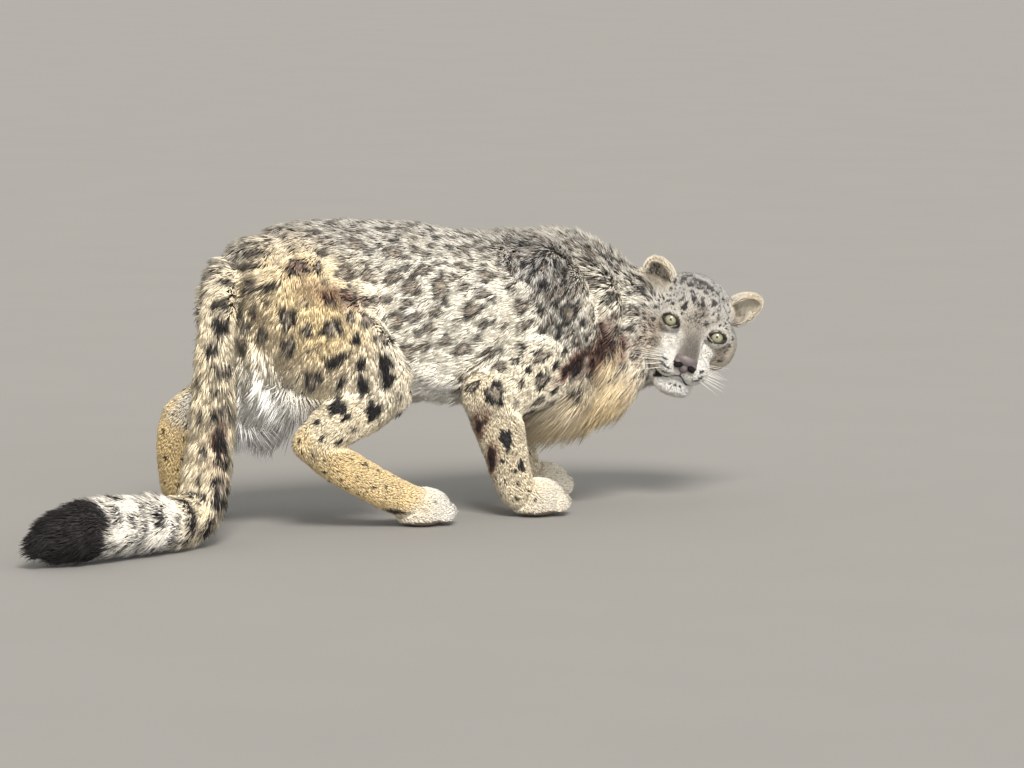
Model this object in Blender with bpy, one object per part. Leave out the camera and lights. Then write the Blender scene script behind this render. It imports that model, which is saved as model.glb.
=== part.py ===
"""Snow leopard, an adult female, caught in mid step with her head turned back over her right side.

The right hind foot has come forward under the belly and the left one is still behind, the left forefoot leads
the right one, and the tail drops from the rump and lies along the floor.

+X runs along the trunk towards the chest, +Y to her left and +Z up, in metres. The body is sculpted whole from
lofts and ellipsoids, and then parted with thin cuts into the pieces that a person would name.
"""

import math
import random

import bmesh
import bpy
from mathutils import Matrix, Vector
from mathutils.bvhtree import BVHTree

GAP = 0.0003
SIDES = {"right": -1, "left": 1}

# Heights over the floor: the back's coat, and the body under the long hair of belly and chest
HIP_TOP = 0.505
SHOULDER_TOP = 0.462
BELLY = 0.204
CHEST = 0.190

# Trunk stations: distance along the trunk, height of the back, height of the underside, half width
TRUNK = [
    (-0.372, 0.445, 0.345, 0.045),
    (-0.340, 0.474, 0.280, 0.078),
    (-0.280, HIP_TOP - 0.007, 0.222, 0.098),
    (-0.220, HIP_TOP, 0.205, 0.104),
    (-0.120, HIP_TOP, 0.195, 0.106),
    (-0.030, HIP_TOP - 0.007, BELLY + 0.006, 0.110),
    (0.060, HIP_TOP - 0.023, BELLY, 0.114),
    (0.140, SHOULDER_TOP + 0.005, BELLY - 0.006, 0.117),
    (0.210, SHOULDER_TOP, CHEST + 0.005, 0.115),
    (0.270, SHOULDER_TOP - 0.001, CHEST - 0.002, 0.106),
    (0.325, SHOULDER_TOP - 0.016, CHEST + 0.006, 0.093),
    (0.365, SHOULDER_TOP - 0.042, CHEST + 0.025, 0.076),
]

# Neck stations: centre, half width, half height
NECK = [
    ((0.260, 0.000, 0.322), 0.090, 0.130),
    ((0.335, 0.004, 0.313), 0.086, 0.124),
    ((0.400, 0.008, 0.304), 0.080, 0.101),
    ((0.452, 0.008, 0.302), 0.074, 0.088),
    ((0.500, -0.004, 0.300), 0.068, 0.088),
    ((0.520, -0.026, 0.305), 0.062, 0.076),
]

# Head: place of the point between cranium and face, and how it is turned
HEAD_AT = Vector((0.505, -0.056, 0.298))
HEAD_YAW = math.radians(-116)
HEAD_PITCH = math.radians(12)
HEAD_ROLL = math.radians(22)
EYE_FORWARD = 0.050
EYE_APART = 0.043
EYE_UP = 0.014
EYE_RADIUS = 0.0150

TAIL_LOCKS_ROUND = 4
TAIL_LOCK_STEP = 0.078
TAIL_LOCK_LENGTH = 0.088

dice = random.Random(7)

# Tail stations: centre and radius of the coat; the body of the tail is a fixed share of it
TAIL_CORE = 0.74
TAIL_STATIONS = [
    ((-0.346, 0.000, 0.434), 0.040),
    ((-0.380, -0.022, 0.421), 0.041),
    ((-0.404, -0.062, 0.376), 0.041),
    ((-0.421, -0.094, 0.308), 0.040),
    ((-0.436, -0.116, 0.220), 0.041),
    ((-0.456, -0.136, 0.134), 0.043),
    ((-0.486, -0.162, 0.069), 0.046),
    ((-0.540, -0.196, 0.048), 0.048),
    ((-0.608, -0.228, 0.051), 0.052),
    ((-0.680, -0.254, 0.054), 0.055),
    ((-0.746, -0.274, 0.053), 0.054),
    ((-0.796, -0.286, 0.048), 0.045),
    ((-0.816, -0.291, 0.044), 0.032),
]

# Limb stations: centre, half width across the limb, half depth fore and aft
RIGHT_HIND = {
    "thigh": [
        ((-0.262, -0.052, 0.405), 0.052, 0.098),
        ((-0.225, -0.078, 0.338), 0.056, 0.103),
        ((-0.172, -0.102, 0.280), 0.052, 0.086),
        ((-0.126, -0.116, 0.236), 0.045, 0.062),
    ],
    "shank": [
        ((-0.120, -0.116, 0.238), 0.044, 0.056),
        ((-0.165, -0.120, 0.208), 0.041, 0.053),
        ((-0.215, -0.121, 0.177), 0.036, 0.043),
        ((-0.256, -0.120, 0.152), 0.031, 0.034),
    ],
    "foot": [
        ((-0.262, -0.120, 0.150), 0.029, 0.032),
        ((-0.220, -0.120, 0.118), 0.031, 0.034),
        ((-0.160, -0.121, 0.082), 0.032, 0.033),
        ((-0.100, -0.122, 0.050), 0.036, 0.031),
        ((-0.065, -0.123, 0.036), 0.040, 0.030),
    ],
    "upper_cut": ((-0.209, -0.120, 0.225), (-0.534, 0, 0.845)),
    "feathers_behind": ((-0.075, 0.345), (-0.110, 0.310), (-0.075, 0.270)),
    "feathers_under": (),
    "lower_cut": ((-0.215, -0.120, 0.115), (0.75, 0, -0.66)),
    "paw_at": (-0.052, -0.123, 0.030),
    "paw_turn": math.radians(0),
}
LEFT_HIND = {
    "thigh": [
        ((-0.270, 0.052, 0.400), 0.052, 0.098),
        ((-0.246, 0.080, 0.338), 0.055, 0.098),
        ((-0.222, 0.102, 0.288), 0.050, 0.080),
        ((-0.206, 0.114, 0.254), 0.045, 0.062),
    ],
    "shank": [
        ((-0.206, 0.114, 0.254), 0.044, 0.058),
        ((-0.262, 0.119, 0.232), 0.041, 0.052),
        ((-0.322, 0.118, 0.204), 0.036, 0.043),
        ((-0.374, 0.117, 0.180), 0.030, 0.034),
    ],
    "foot": [
        ((-0.378, 0.117, 0.180), 0.028, 0.032),
        ((-0.386, 0.119, 0.145), 0.030, 0.033),
        ((-0.383, 0.127, 0.098), 0.031, 0.032),
        ((-0.368, 0.139, 0.056), 0.035, 0.033),
        ((-0.346, 0.150, 0.036), 0.039, 0.030),
    ],
    "upper_cut": ((-0.275, 0.118, 0.272), (-0.420, 0, 0.907)),
    "feathers_behind": ((0.070, 0.345), (0.105, 0.320)),
    "feathers_under": ((-0.190, 0.095), (-0.225, 0.125), (-0.260, 0.098), (-0.290, 0.122), (-0.320, 0.100)),
    "lower_cut": ((-0.386, 0.119, 0.140), (0, 0.10, -1)),
    "paw_at": (-0.335, 0.157, 0.030),
    "paw_turn": math.radians(28),
}
RIGHT_FORE = {
    "shoulder": [
        ((0.195, -0.064, 0.405), 0.040, 0.070),
        ((0.222, -0.080, 0.350), 0.046, 0.082),
        ((0.248, -0.088, 0.292), 0.048, 0.070),
    ],
    "arm": [
        ((0.250, -0.088, 0.286), 0.047, 0.066),
        ((0.178, -0.095, 0.248), 0.045, 0.070),
        ((0.100, -0.100, 0.208), 0.042, 0.054),
    ],
    "forearm": [
        ((0.088, -0.101, 0.212), 0.041, 0.050),
        ((0.102, -0.103, 0.165), 0.041, 0.046),
        ((0.116, -0.105, 0.115), 0.037, 0.040),
        ((0.128, -0.106, 0.070), 0.034, 0.035),
        ((0.140, -0.107, 0.044), 0.034, 0.032),
    ],
    "upper_cut": ((0.100, -0.103, 0.172), (-0.05, 0, 1)),
    "lower_cut": ((0.128, -0.106, 0.068), (0.10, 0, -1)),
    "paw_at": (0.176, -0.109, 0.031),
    "paw_turn": math.radians(-2),
}
LEFT_FORE = {
    "shoulder": [
        ((0.200, 0.064, 0.405), 0.040, 0.070),
        ((0.232, 0.080, 0.350), 0.046, 0.080),
        ((0.258, 0.088, 0.296), 0.048, 0.066),
    ],
    "arm": [
        ((0.262, 0.088, 0.290), 0.047, 0.060),
        ((0.228, 0.094, 0.248), 0.045, 0.066),
        ((0.192, 0.098, 0.208), 0.042, 0.054),
    ],
    "forearm": [
        ((0.192, 0.098, 0.210), 0.041, 0.050),
        ((0.216, 0.096, 0.160), 0.040, 0.045),
        ((0.240, 0.093, 0.112), 0.036, 0.039),
        ((0.256, 0.091, 0.070), 0.034, 0.035),
        ((0.266, 0.090, 0.044), 0.034, 0.032),
    ],
    "upper_cut": ((0.215, 0.096, 0.162), (0, 0, 1)),
    "lower_cut": ((0.256, 0.091, 0.068), (0.10, 0, -1)),
    "paw_at": (0.300, 0.089, 0.031),
    "paw_turn": math.radians(4),
}

COATS = {
    "cream": ((0.78, 0.73, 0.62), 0.90),
    "white": ((0.88, 0.87, 0.84), 0.90),
    "smoke": ((0.62, 0.60, 0.56), 0.90),
    "ringed": ((0.50, 0.46, 0.41), 0.90),
    "sole": ((0.80, 0.74, 0.62), 0.85),
    "iris": ((0.55, 0.62, 0.48), 0.15),
    "nose_leather": ((0.33, 0.25, 0.24), 0.45),
}


def clear_scene():
    for thing in list(bpy.data.objects):
        bpy.data.objects.remove(thing)


def object_from(name, mesh):
    thing = bpy.data.objects.new(name, mesh)
    bpy.context.scene.collection.objects.link(thing)
    return thing


def mesh_from(name, shell):
    bmesh.ops.recalc_face_normals(shell, faces=shell.faces)
    mesh = bpy.data.meshes.new(name)
    shell.to_mesh(mesh)
    shell.free()
    return mesh


def smooth_path(stations, steps):
    """The stations' numbers, with steps - 1 more between each two, on a curve that runs through them all."""
    rows = [list(centre) + list(sizes) for centre, *sizes in stations]
    found = []
    for i in range(len(rows) - 1):
        before, here, after, later = rows[max(i - 1, 0)], rows[i], rows[i + 1], rows[min(i + 2, len(rows) - 1)]
        for step in range(steps):
            t = step / steps
            found.append([
                0.5 * (2 * b + (c - a) * t + (2 * a - 5 * b + 4 * c - d) * t**2 + (3 * b - a - 3 * c + d) * t**3)
                for a, b, c, d in zip(before, here, after, later)
            ])
    return found + [rows[-1]]


def loft(shell, stations, sides=24, steps=4, across=Vector((0, 1, 0)), close_tip=1.0):
    """A closed tube with round ends through stations of centre, half width and half depth.

    The width lies as near to the direction across as the path allows. close_tip is how far the round ends
    stand out, as a share of the end's smaller radius.
    """
    rows = smooth_path([(c, s[0], s[-1]) for c, *s in stations], steps)
    centres = [Vector(row[:3]) for row in rows]
    rings = []
    for i, row in enumerate(rows):
        along = (centres[min(i + 1, len(rows) - 1)] - centres[max(i - 1, 0)]).normalized()
        wide = (across - along * across.dot(along)).normalized()
        deep = along.cross(wide)
        rings.append((centres[i], wide * row[3], deep * row[4], along))
    first, last = rings[0], rings[-1]
    ends = [math.radians(a) for a in (75, 50, 25)]

    def dome(ring, way):
        centre, wide, deep, along = ring
        reach = min(wide.length, deep.length) * close_tip * way
        return [
            (centre + along * reach * math.sin(a), wide * math.cos(a), deep * math.cos(a), along) for a in ends
        ]

    rings = dome(first, -1) + rings + dome(last, 1)[::-1]
    loops = []
    for centre, wide, deep, _ in rings:
        loops.append([
            shell.verts.new(centre + wide * math.cos(a) + deep * math.sin(a))
            for a in (2 * math.pi * k / sides for k in range(sides))
        ])
    for lower, upper in zip(loops, loops[1:]):
        for k in range(sides):
            shell.faces.new((lower[k], lower[(k + 1) % sides], upper[(k + 1) % sides], upper[k]))
    shell.faces.new(loops[0][::-1])
    shell.faces.new(loops[-1])


def ball(shell, centre, radii, turn=None, subdivisions=3):
    """An ellipsoid. turn is a rotation matrix about its own centre."""
    matrix = Matrix.Translation(centre) @ (turn or Matrix.Identity(4)) @ Matrix.Diagonal((*radii, 1))
    bmesh.ops.create_icosphere(shell, subdivisions=subdivisions, radius=1, matrix=matrix)


def evaluated_mesh(thing, name):
    """The object's mesh with its modifiers applied; the object itself is removed."""
    graph = bpy.context.evaluated_depsgraph_get()
    mesh = bpy.data.meshes.new_from_object(thing.evaluated_get(graph))
    mesh.name = name
    bpy.data.objects.remove(thing)
    return mesh


def sculpt(shell, voxel, smoothing, triangles):
    """One closed skin round all the shells, its creases smoothed and its triangles reduced to about that many."""
    thing = object_from("sculpt", mesh_from("sculpt", shell))
    remesh = thing.modifiers.new("Skin", "REMESH")
    remesh.mode = "VOXEL"
    remesh.voxel_size = voxel
    if smoothing:
        smooth = thing.modifiers.new("Smooth", "SMOOTH")
        smooth.factor = 0.5
        smooth.iterations = smoothing
    mesh = evaluated_mesh(thing, "skin")
    thing = object_from("sculpt", mesh)
    reduce = thing.modifiers.new("Reduce", "DECIMATE")
    reduce.ratio = min(1.0, triangles / (2 * len(mesh.polygons)))
    return largest_body(evaluated_mesh(thing, "skin"))


def largest_body(mesh):
    """The mesh with only its largest closed surface kept."""
    shell = bmesh.new()
    shell.from_mesh(mesh)
    shell.faces.ensure_lookup_table()
    seen, bodies = set(), []
    for start in shell.faces:
        if start in seen:
            continue
        body, edge_of_body = [], [start]
        seen.add(start)
        while edge_of_body:
            face = edge_of_body.pop()
            body.append(face)
            for edge in face.edges:
                for other in edge.link_faces:
                    if other not in seen:
                        seen.add(other)
                        edge_of_body.append(other)
        bodies.append(body)
    bodies.sort(key=lambda faces: sum(face.calc_area() for face in faces))
    spare = [face for body in bodies[:-1] for face in body]
    if spare:
        bmesh.ops.delete(shell, geom=spare, context="FACES")
    loose = [vertex for vertex in shell.verts if not vertex.link_faces]
    bmesh.ops.delete(shell, geom=loose, context="VERTS")
    shell.to_mesh(mesh)
    shell.free()
    return mesh


def kept_side(mesh, point, normal, gap=GAP / 2):
    """The part of the mesh that lies beyond the plane on the normal's side, closed flat along the cut."""
    normal = Vector(normal).normalized()
    shell = bmesh.new()
    turn = normal.to_track_quat("Z", "Y").to_matrix().to_4x4()
    place = Matrix.Translation(Vector(point) + normal * gap) @ turn
    bmesh.ops.create_cube(shell, size=3, matrix=place @ Matrix.Translation((0, 0, 1.5)))
    return combined(mesh.copy(), mesh_from("half", shell), "INTERSECT")


def parted(mesh, point, normal):
    """The two bodies that a thin flat cut makes: the one on the normal's side, and the other."""
    return kept_side(mesh, point, normal), kept_side(mesh, point, -Vector(normal))


def grown(mesh, by):
    """A copy of the mesh with its surface moved outwards."""
    shell = bmesh.new()
    shell.from_mesh(mesh)
    shell.normal_update()
    for vertex, normal in [(v, v.normal.copy()) for v in shell.verts]:
        vertex.co += normal * by
    return mesh_from("grown", shell)


def combined(mesh, other, operation):
    """The mesh joined with, cut by or limited to the other one."""
    thing, tool = object_from("body", mesh), object_from("tool", other)
    change = thing.modifiers.new("Cut", "BOOLEAN")
    change.operation = operation
    change.object = tool
    change.solver = "MANIFOLD"
    result = evaluated_mesh(thing, "part")
    bpy.data.objects.remove(tool)
    return largest_body(result)


def slab(outline, sign, spare=0.0):
    """A wedge with that X-Z outline on one side of the trunk, wider all round by spare.

    Its inner face leans in towards the top.
    """
    outline = widened(outline, spare)
    shell = bmesh.new()
    near = [shell.verts.new((x, sign * (LEG_INNER - spare - LEG_LEAN * z), z)) for x, z in outline]
    far = [shell.verts.new((x, sign * LEG_OUTER, z)) for x, z in outline]
    count = len(outline)
    for k in range(count):
        shell.faces.new((near[k], near[(k + 1) % count], far[(k + 1) % count], far[k]))
    shell.faces.new(near)
    shell.faces.new(far)
    return mesh_from("slab", shell)


def widened(outline, by):
    """The outline with every side moved outwards by that much."""
    points = [Vector(point) for point in outline]
    turn = sum(a.cross(b) for a, b in zip(points, points[1:] + points[:1]))
    found = []
    for before, here, after in zip(points[-1:] + points[:-1], points, points[1:] + points[:1]):
        sides = [(here - before).normalized(), (after - here).normalized()]
        normals = [Vector((side.y, -side.x)) * (1 if turn > 0 else -1) for side in sides]
        middle = (normals[0] + normals[1]).normalized()
        found.append(here + middle * (by / max(0.5, middle.dot(normals[0]))))
    return [tuple(point) for point in found]


def rounded(corners, steps=2):
    """A smooth closed outline through the corners."""
    count, found = len(corners), []
    for i in range(count):
        a, b, c, d = (corners[(i + k) % count] for k in (-1, 0, 1, 2))
        for step in range(steps):
            t = step / steps
            found.append(tuple(
                0.5 * (2 * q + (r - p) * t + (2 * p - 5 * q + 4 * r - s) * t**2 + (3 * q - p - 3 * r + s) * t**3)
                for p, q, r, s in zip(a, b, c, d)
            ))
    return found


def head_matrix():
    return (
        Matrix.Translation(HEAD_AT)
        @ Matrix.Rotation(HEAD_YAW, 4, "Z")
        @ Matrix.Rotation(HEAD_PITCH, 4, "Y")
        @ Matrix.Rotation(-HEAD_ROLL, 4, "X")
    )


def add_trunk(shell):
    loft(
        shell,
        [((x, 0, (top + under) / 2), half, (top - under) / 2) for x, top, under, half in TRUNK],
        sides=32,
    )
    loft(shell, [(c, w, h) for c, w, h in NECK], sides=28)
    loft(shell, [(c, r * TAIL_CORE, r * TAIL_CORE) for c, r in TAIL_STATIONS[:3]], sides=20)


def add_leg(shell, leg):
    for name in ("thigh", "shank", "foot", "shoulder", "arm", "forearm"):
        if name in leg:
            loft(shell, leg[name], sides=20)


def add_paw(shell, leg, long, wide):
    """Four toes in an arc in front of a broad pad, with the knuckles standing up a little behind them."""
    turn = Matrix.Translation(leg["paw_at"]) @ Matrix.Rotation(leg["paw_turn"], 4, "Z")
    spin = Matrix.Rotation(leg["paw_turn"], 4, "Z")
    ball(shell, turn @ Vector((0.000, 0, 0.003)), (long * 0.55, wide * 0.50, 0.031), spin)
    ball(shell, turn @ Vector((-0.004, 0, -0.012)), (long * 0.50, wide * 0.46, 0.020), spin)
    for place, (ahead, aside, size) in enumerate(
        ((0.022, -0.64, 0.92), (0.036, -0.24, 1.0), (0.036, 0.22, 1.0), (0.024, 0.62, 0.94))
    ):
        fan = Matrix.Rotation(leg["paw_turn"] + math.radians((-16, -5, 5, 16)[place]), 4, "Z")
        centre = turn @ Vector((ahead, aside * wide * 0.52, -0.008))
        ball(shell, centre, (0.021 * size, 0.0125 * size, 0.0185 * size), fan)
        ball(shell, turn @ Vector((ahead - 0.018, aside * wide * 0.48, 0.004)), (0.020, 0.0115, 0.0175), fan)


def add_head(shell, matrix):
    """Domed skull, broad brow, cheeks with their fur, short nose bridge and full whisker pads."""
    turn = matrix.to_3x3().to_4x4()

    def lump(centre, radii, tip=0.0, swing=0.0, side=0):
        aside = side or 1
        local = Matrix.Rotation(swing * aside, 4, "Z") @ Matrix.Rotation(tip, 4, "Y")
        place = Vector((centre[0], centre[1] * aside, centre[2]))
        ball(shell, matrix @ place, radii, turn @ local)

    lump((-0.024, 0, 0.025), (0.072, 0.072, 0.062))
    lump((0.014, 0, 0.036), (0.046, 0.056, 0.040))
    lump((-0.030, 0, -0.022), (0.062, 0.084, 0.064))
    lump((0.052, 0, -0.004), (0.030, 0.024, 0.034))
    lump((0.066, 0, -0.042), (0.040, 0.036, 0.034))
    loft(
        shell,
        [
            (matrix @ Vector((0.030, 0, 0.034)), 0.024, 0.018),
            (matrix @ Vector((0.060, 0, 0.010)), 0.0195, 0.018),
            (matrix @ Vector((0.086, 0, -0.014)), 0.0185, 0.017),
            (matrix @ Vector((0.098, 0, -0.028)), 0.0175, 0.015),
        ],
        across=matrix.to_3x3() @ Vector((0, 1, 0)),
    )
    for side in (-1, 1):
        lump((0.000, 0.050, -0.020), (0.048, 0.038, 0.052), side=side)
        lump((0.028, 0.036, -0.020), (0.032, 0.022, 0.026), side=side)
        lump((0.030, 0.040, 0.030), (0.026, 0.022, 0.016), tip=math.radians(20), side=side)
        lump((0.043, 0.041, 0.013), (0.0215, 0.0215, 0.0205), side=side)
        lump((0.078, 0.023, -0.046), (0.029, 0.0225, 0.0225), swing=math.radians(-10), side=side)
        lump((0.052, 0.034, -0.046), (0.030, 0.020, 0.024), side=side)


def add_jaw(shell, matrix):
    """Chin and the two sides of the lower jaw."""
    turn = matrix.to_3x3().to_4x4()
    ball(shell, matrix @ Vector((0.070, 0, -0.079)), (0.025, 0.027, 0.018), turn)
    ball(shell, matrix @ Vector((0.046, 0, -0.075)), (0.036, 0.034, 0.021), turn)
    ball(shell, matrix @ Vector((0.010, 0, -0.064)), (0.045, 0.044, 0.026), turn)


def eye_places(matrix):
    return {
        side: matrix @ Vector((EYE_FORWARD, sign * EYE_APART, EYE_UP)) for side, sign in SIDES.items()
    }


def almond(matrix, sign):
    """The opening between the lids: a pointed oval, run forward from the middle of the eye."""
    aim = matrix @ Matrix.Translation((EYE_FORWARD, sign * EYE_APART, EYE_UP)) @ Matrix.Rotation(
        sign * math.radians(14), 4, "Z"
    )
    shell = bmesh.new()
    near, far = [], []
    for k in range(20):
        a = 2 * math.pi * k / 20
        y = 0.0128 * math.cos(a) * sign
        z = 0.0098 * math.sin(a) * (1 - 0.16 * abs(math.cos(a))) - 0.14 * 0.0128 * math.cos(a) * -1
        near.append(shell.verts.new(aim @ Vector((0.002, y, z))))
        far.append(shell.verts.new(aim @ Vector((0.050, y * 1.5, z * 1.5))))
    for k in range(20):
        shell.faces.new((near[k], near[(k + 1) % 20], far[(k + 1) % 20], far[k]))
    shell.faces.new(near)
    shell.faces.new(far)
    return mesh_from("almond", shell)


def eyeball(place, radius):
    shell = bmesh.new()
    bmesh.ops.create_uvsphere(
        shell, u_segments=14, v_segments=8, radius=radius,
        matrix=Matrix.Translation(place) @ head_matrix().to_3x3().to_4x4() @ Matrix.Rotation(math.pi / 2, 4, "Y"),
    )
    return mesh_from("eye", shell)


def ear_mesh(matrix, sign, head):
    """A short round ear, cupped in front, standing out from the corner of the skull."""
    set_on = (
        matrix
        @ Matrix.Translation((-0.018, sign * 0.074, 0.056))
        @ Matrix.Rotation(-sign * math.radians(38), 4, "X")
        @ Matrix.Rotation(sign * math.radians(22), 4, "Z")
    )
    shell = bmesh.new()
    bmesh.ops.create_icosphere(
        shell, subdivisions=3, radius=1, matrix=set_on @ Matrix.Diagonal((0.016, 0.030, 0.041, 1))
    )
    body = mesh_from("ear", shell)
    shell = bmesh.new()
    hollow = set_on @ Matrix.Translation((0.012, 0, 0.004)) @ Matrix.Diagonal((0.0178, 0.0240, 0.0336, 1))
    bmesh.ops.create_icosphere(shell, subdivisions=2, radius=1, matrix=hollow)
    cup = mesh_from("cup", shell)
    return combined(combined(body, cup, "DIFFERENCE"), grown(head, 0.0004), "DIFFERENCE")


def nose_mesh(matrix):
    """The bare nose, a broad wedge with a comma-shaped nostril at each side, and the seat it takes in the head."""
    turn = matrix.to_3x3().to_4x4()
    shell = bmesh.new()
    ball(shell, matrix @ Vector((0.100, 0, -0.026)), (0.013, 0.0195, 0.012), turn)
    ball(shell, matrix @ Vector((0.102, 0, -0.036)), (0.010, 0.0100, 0.010), turn)
    for sign in (-1, 1):
        ball(shell, matrix @ Vector((0.098, sign * 0.0115, -0.029)), (0.012, 0.0088, 0.0095), turn)
    nose = sculpt(shell, 0.0014, 4, 300)
    seat = grown(nose, 0.0008)
    for sign in (-1, 1):
        pit = bmesh.new()
        drop = turn @ Matrix.Rotation(sign * math.radians(-35), 4, "X")
        ball(pit, matrix @ Vector((0.108, sign * 0.0125, -0.0315)), (0.009, 0.0052, 0.0026), drop, 2)
        nose = combined(nose, mesh_from("pit", pit), "DIFFERENCE")
    return nose, seat


def lock(root, normal, lie, length, width, lift, droop=0.0):
    """A flat lock of long hair: rooted under the surface, it widens, curls down by droop and tapers to a tip."""
    lie = (lie - normal * lie.dot(normal)).normalized()
    way = lie * math.cos(lift) + normal * math.sin(lift)
    start = root - normal * 0.007 - way * 0.004
    centres = [start + way * length * t + Vector((0, 0, -droop)) * length * t * t for t in (0, 0.38, 0.74, 1)]
    shell = bmesh.new()
    rings = []
    for i, size in enumerate((0.75, 1.0, 0.66)):
        along = (centres[i + 1] - centres[max(i - 1, 0)]).normalized()
        aside = along.cross(normal).normalized()
        outward = aside.cross(along).normalized()
        spread = (aside * width / 2, outward * width * 0.20, aside * -width / 2, outward * width * -0.20)
        rings.append([shell.verts.new(centres[i] + offset * size) for offset in spread])
    for lower, upper in zip(rings, rings[1:]):
        for k in range(4):
            shell.faces.new((lower[k], lower[(k + 1) % 4], upper[(k + 1) % 4], upper[k]))
    tip = shell.verts.new(centres[-1])
    for k in range(4):
        shell.faces.new((rings[-1][k], rings[-1][(k + 1) % 4], tip))
    shell.faces.new(rings[0])
    bmesh.ops.triangulate(shell, faces=shell.faces)
    return mesh_from("lock", shell)


def with_locks(mesh, locks):
    """The mesh and its locks fused into one body."""
    group = bpy.data.collections.new("locks")
    bpy.context.scene.collection.children.link(group)
    for piece in locks:
        group.objects.link(bpy.data.objects.new("lock", piece))
    thing = object_from("body", mesh)
    fuse = thing.modifiers.new("Fuse", "BOOLEAN")
    fuse.operation = "UNION"
    fuse.operand_type = "COLLECTION"
    fuse.collection = group
    fuse.solver = "MANIFOLD"
    result = evaluated_mesh(thing, "part")
    for piece in list(group.objects):
        bpy.data.objects.remove(piece)
    bpy.data.collections.remove(group)
    return largest_body(result)


def locks_on(mesh, rays, lie, length, width, lift, droop=0.3, clear_of=()):
    """One lock where each ray, as origin and direction, first meets the mesh, but none that meets clear_of."""
    tree = tree_of(mesh)
    others = [tree_of(other) for other in clear_of]
    found = []
    for origin, direction in rays:
        hit, normal, _, _ = tree.ray_cast(Vector(origin), Vector(direction).normalized())
        if hit is None:
            continue
        size = dice.uniform(0.88, 1.12)
        bent = Vector(lie) + Vector([dice.uniform(-0.16, 0.16) for _ in range(3)])
        piece = lock(hit, normal, bent, length * size, width * size, lift * dice.uniform(0.8, 1.2), droop)
        if not any(touches(piece, other) for other in others):
            found.append(piece)
    return found


def tree_of(mesh):
    shell = bmesh.new()
    shell.from_mesh(mesh)
    tree = BVHTree.FromBMesh(shell)
    shell.free()
    return tree


def touches(mesh, tree, margin=0.0012):
    """Whether the mesh, grown by the margin, crosses the tree's surface or lies inside it."""
    points = [vertex.co for vertex in mesh.vertices]
    if tree_of(grown(mesh, margin)).overlap(tree):
        return True
    return within(points[0], tree) or within(points[-1], tree)


def within(point, tree, way=Vector((0.21, 0.34, 0.92)).normalized()):
    """Whether a line from the point crosses the tree's surface an odd number of times."""
    crossings = 0
    hit = tree.ray_cast(point, way)[0]
    while hit is not None:
        crossings += 1
        hit = tree.ray_cast(hit + way * 1e-5, way)[0]
    return crossings % 2 == 1


def from_below(places):
    return [((x, y, -0.5), (0, 0, 1)) for x, y in places]


def spaced(first, last, count):
    return [first + (last - first) * k / (count - 1) for k in range(count)]


def trunk_locks(trunk, legs):
    """Fringe of belly, chest and throat, crest of the nape, and the white hair under the tail's root."""
    found = []
    for low, high, count, ys, length, width in (
        (-0.150, 0.120, 6, (-0.036, 0.036), 0.052, 0.040),
        (-0.123, 0.093, 5, (0.0,), 0.052, 0.040),
        (0.175, 0.310, 4, (-0.040, 0.040), 0.068, 0.044),
        (0.148, 0.335, 5, (0.0,), 0.074, 0.044),
        (0.360, 0.450, 3, (-0.044, 0.0, 0.050), 0.074, 0.042),
    ):
        found += locks_on(
            trunk, from_below((x, y) for x in spaced(low, high, count) for y in ys), (-0.75, 0, -0.65), length, width,
            math.radians(38), 0.55, legs,
        )
    sides = [((x, sign * 0.5, z), (0, -sign, 0)) for x in (0.365, 0.430) for z in (0.240, 0.290)
             for sign in (-1, 1)]
    found += locks_on(trunk, sides, (-0.75, 0, -0.65), 0.062, 0.044, math.radians(24), 0.35, legs)
    nape = [((x, y, 0.9), (0, 0, -1)) for x, y in zip(spaced(0.225, 0.455, 8), (-0.016, 0.018) * 4)]
    found += locks_on(trunk, nape, (-1, 0, 0), 0.048, 0.034, math.radians(34), 0.0, legs)
    behind = [((-0.9, y, z), (1, 0, 0)) for y, z in ((-0.030, 0.300), (0.032, 0.320), (-0.012, 0.255), (0.030, 0.265))]
    found += locks_on(trunk, behind, (0, 0, -1), 0.070, 0.046, math.radians(22), 0.1, legs)
    return found


def ruff_locks(matrix, head, others):
    """Pointed locks of the cheek fur, behind the jaw and below the ears."""
    turn = matrix.to_3x3()
    found = []
    for sign in (-1, 1):
        rays = [
            (matrix @ Vector((x, sign * 0.3, z)), turn @ Vector((0, -sign, 0)))
            for x, z in ((-0.012, -0.060), (-0.006, -0.030), (-0.014, 0.000), (0.012, -0.052))
        ]
        lie = turn @ Vector((-0.75, sign * 0.25, -0.55))
        found += locks_on(head, rays, lie, 0.044, 0.032, math.radians(24), 0.1, others)
    return found


def thigh_locks(leg, mesh, others):
    """Long white hair down the back of a thigh and along the underside of the knee and shank."""
    back = [((-0.9, y, z), (1, 0, 0)) for y, z in leg["feathers_behind"]]
    under = from_below(leg["feathers_under"])
    found = locks_on(mesh, back, (0, 0, -1), 0.058, 0.042, math.radians(24), 0.1, others)
    return found + locks_on(mesh, under, (-0.45, 0, -0.9), 0.066, 0.042, math.radians(52), 0.5, others)


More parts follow.
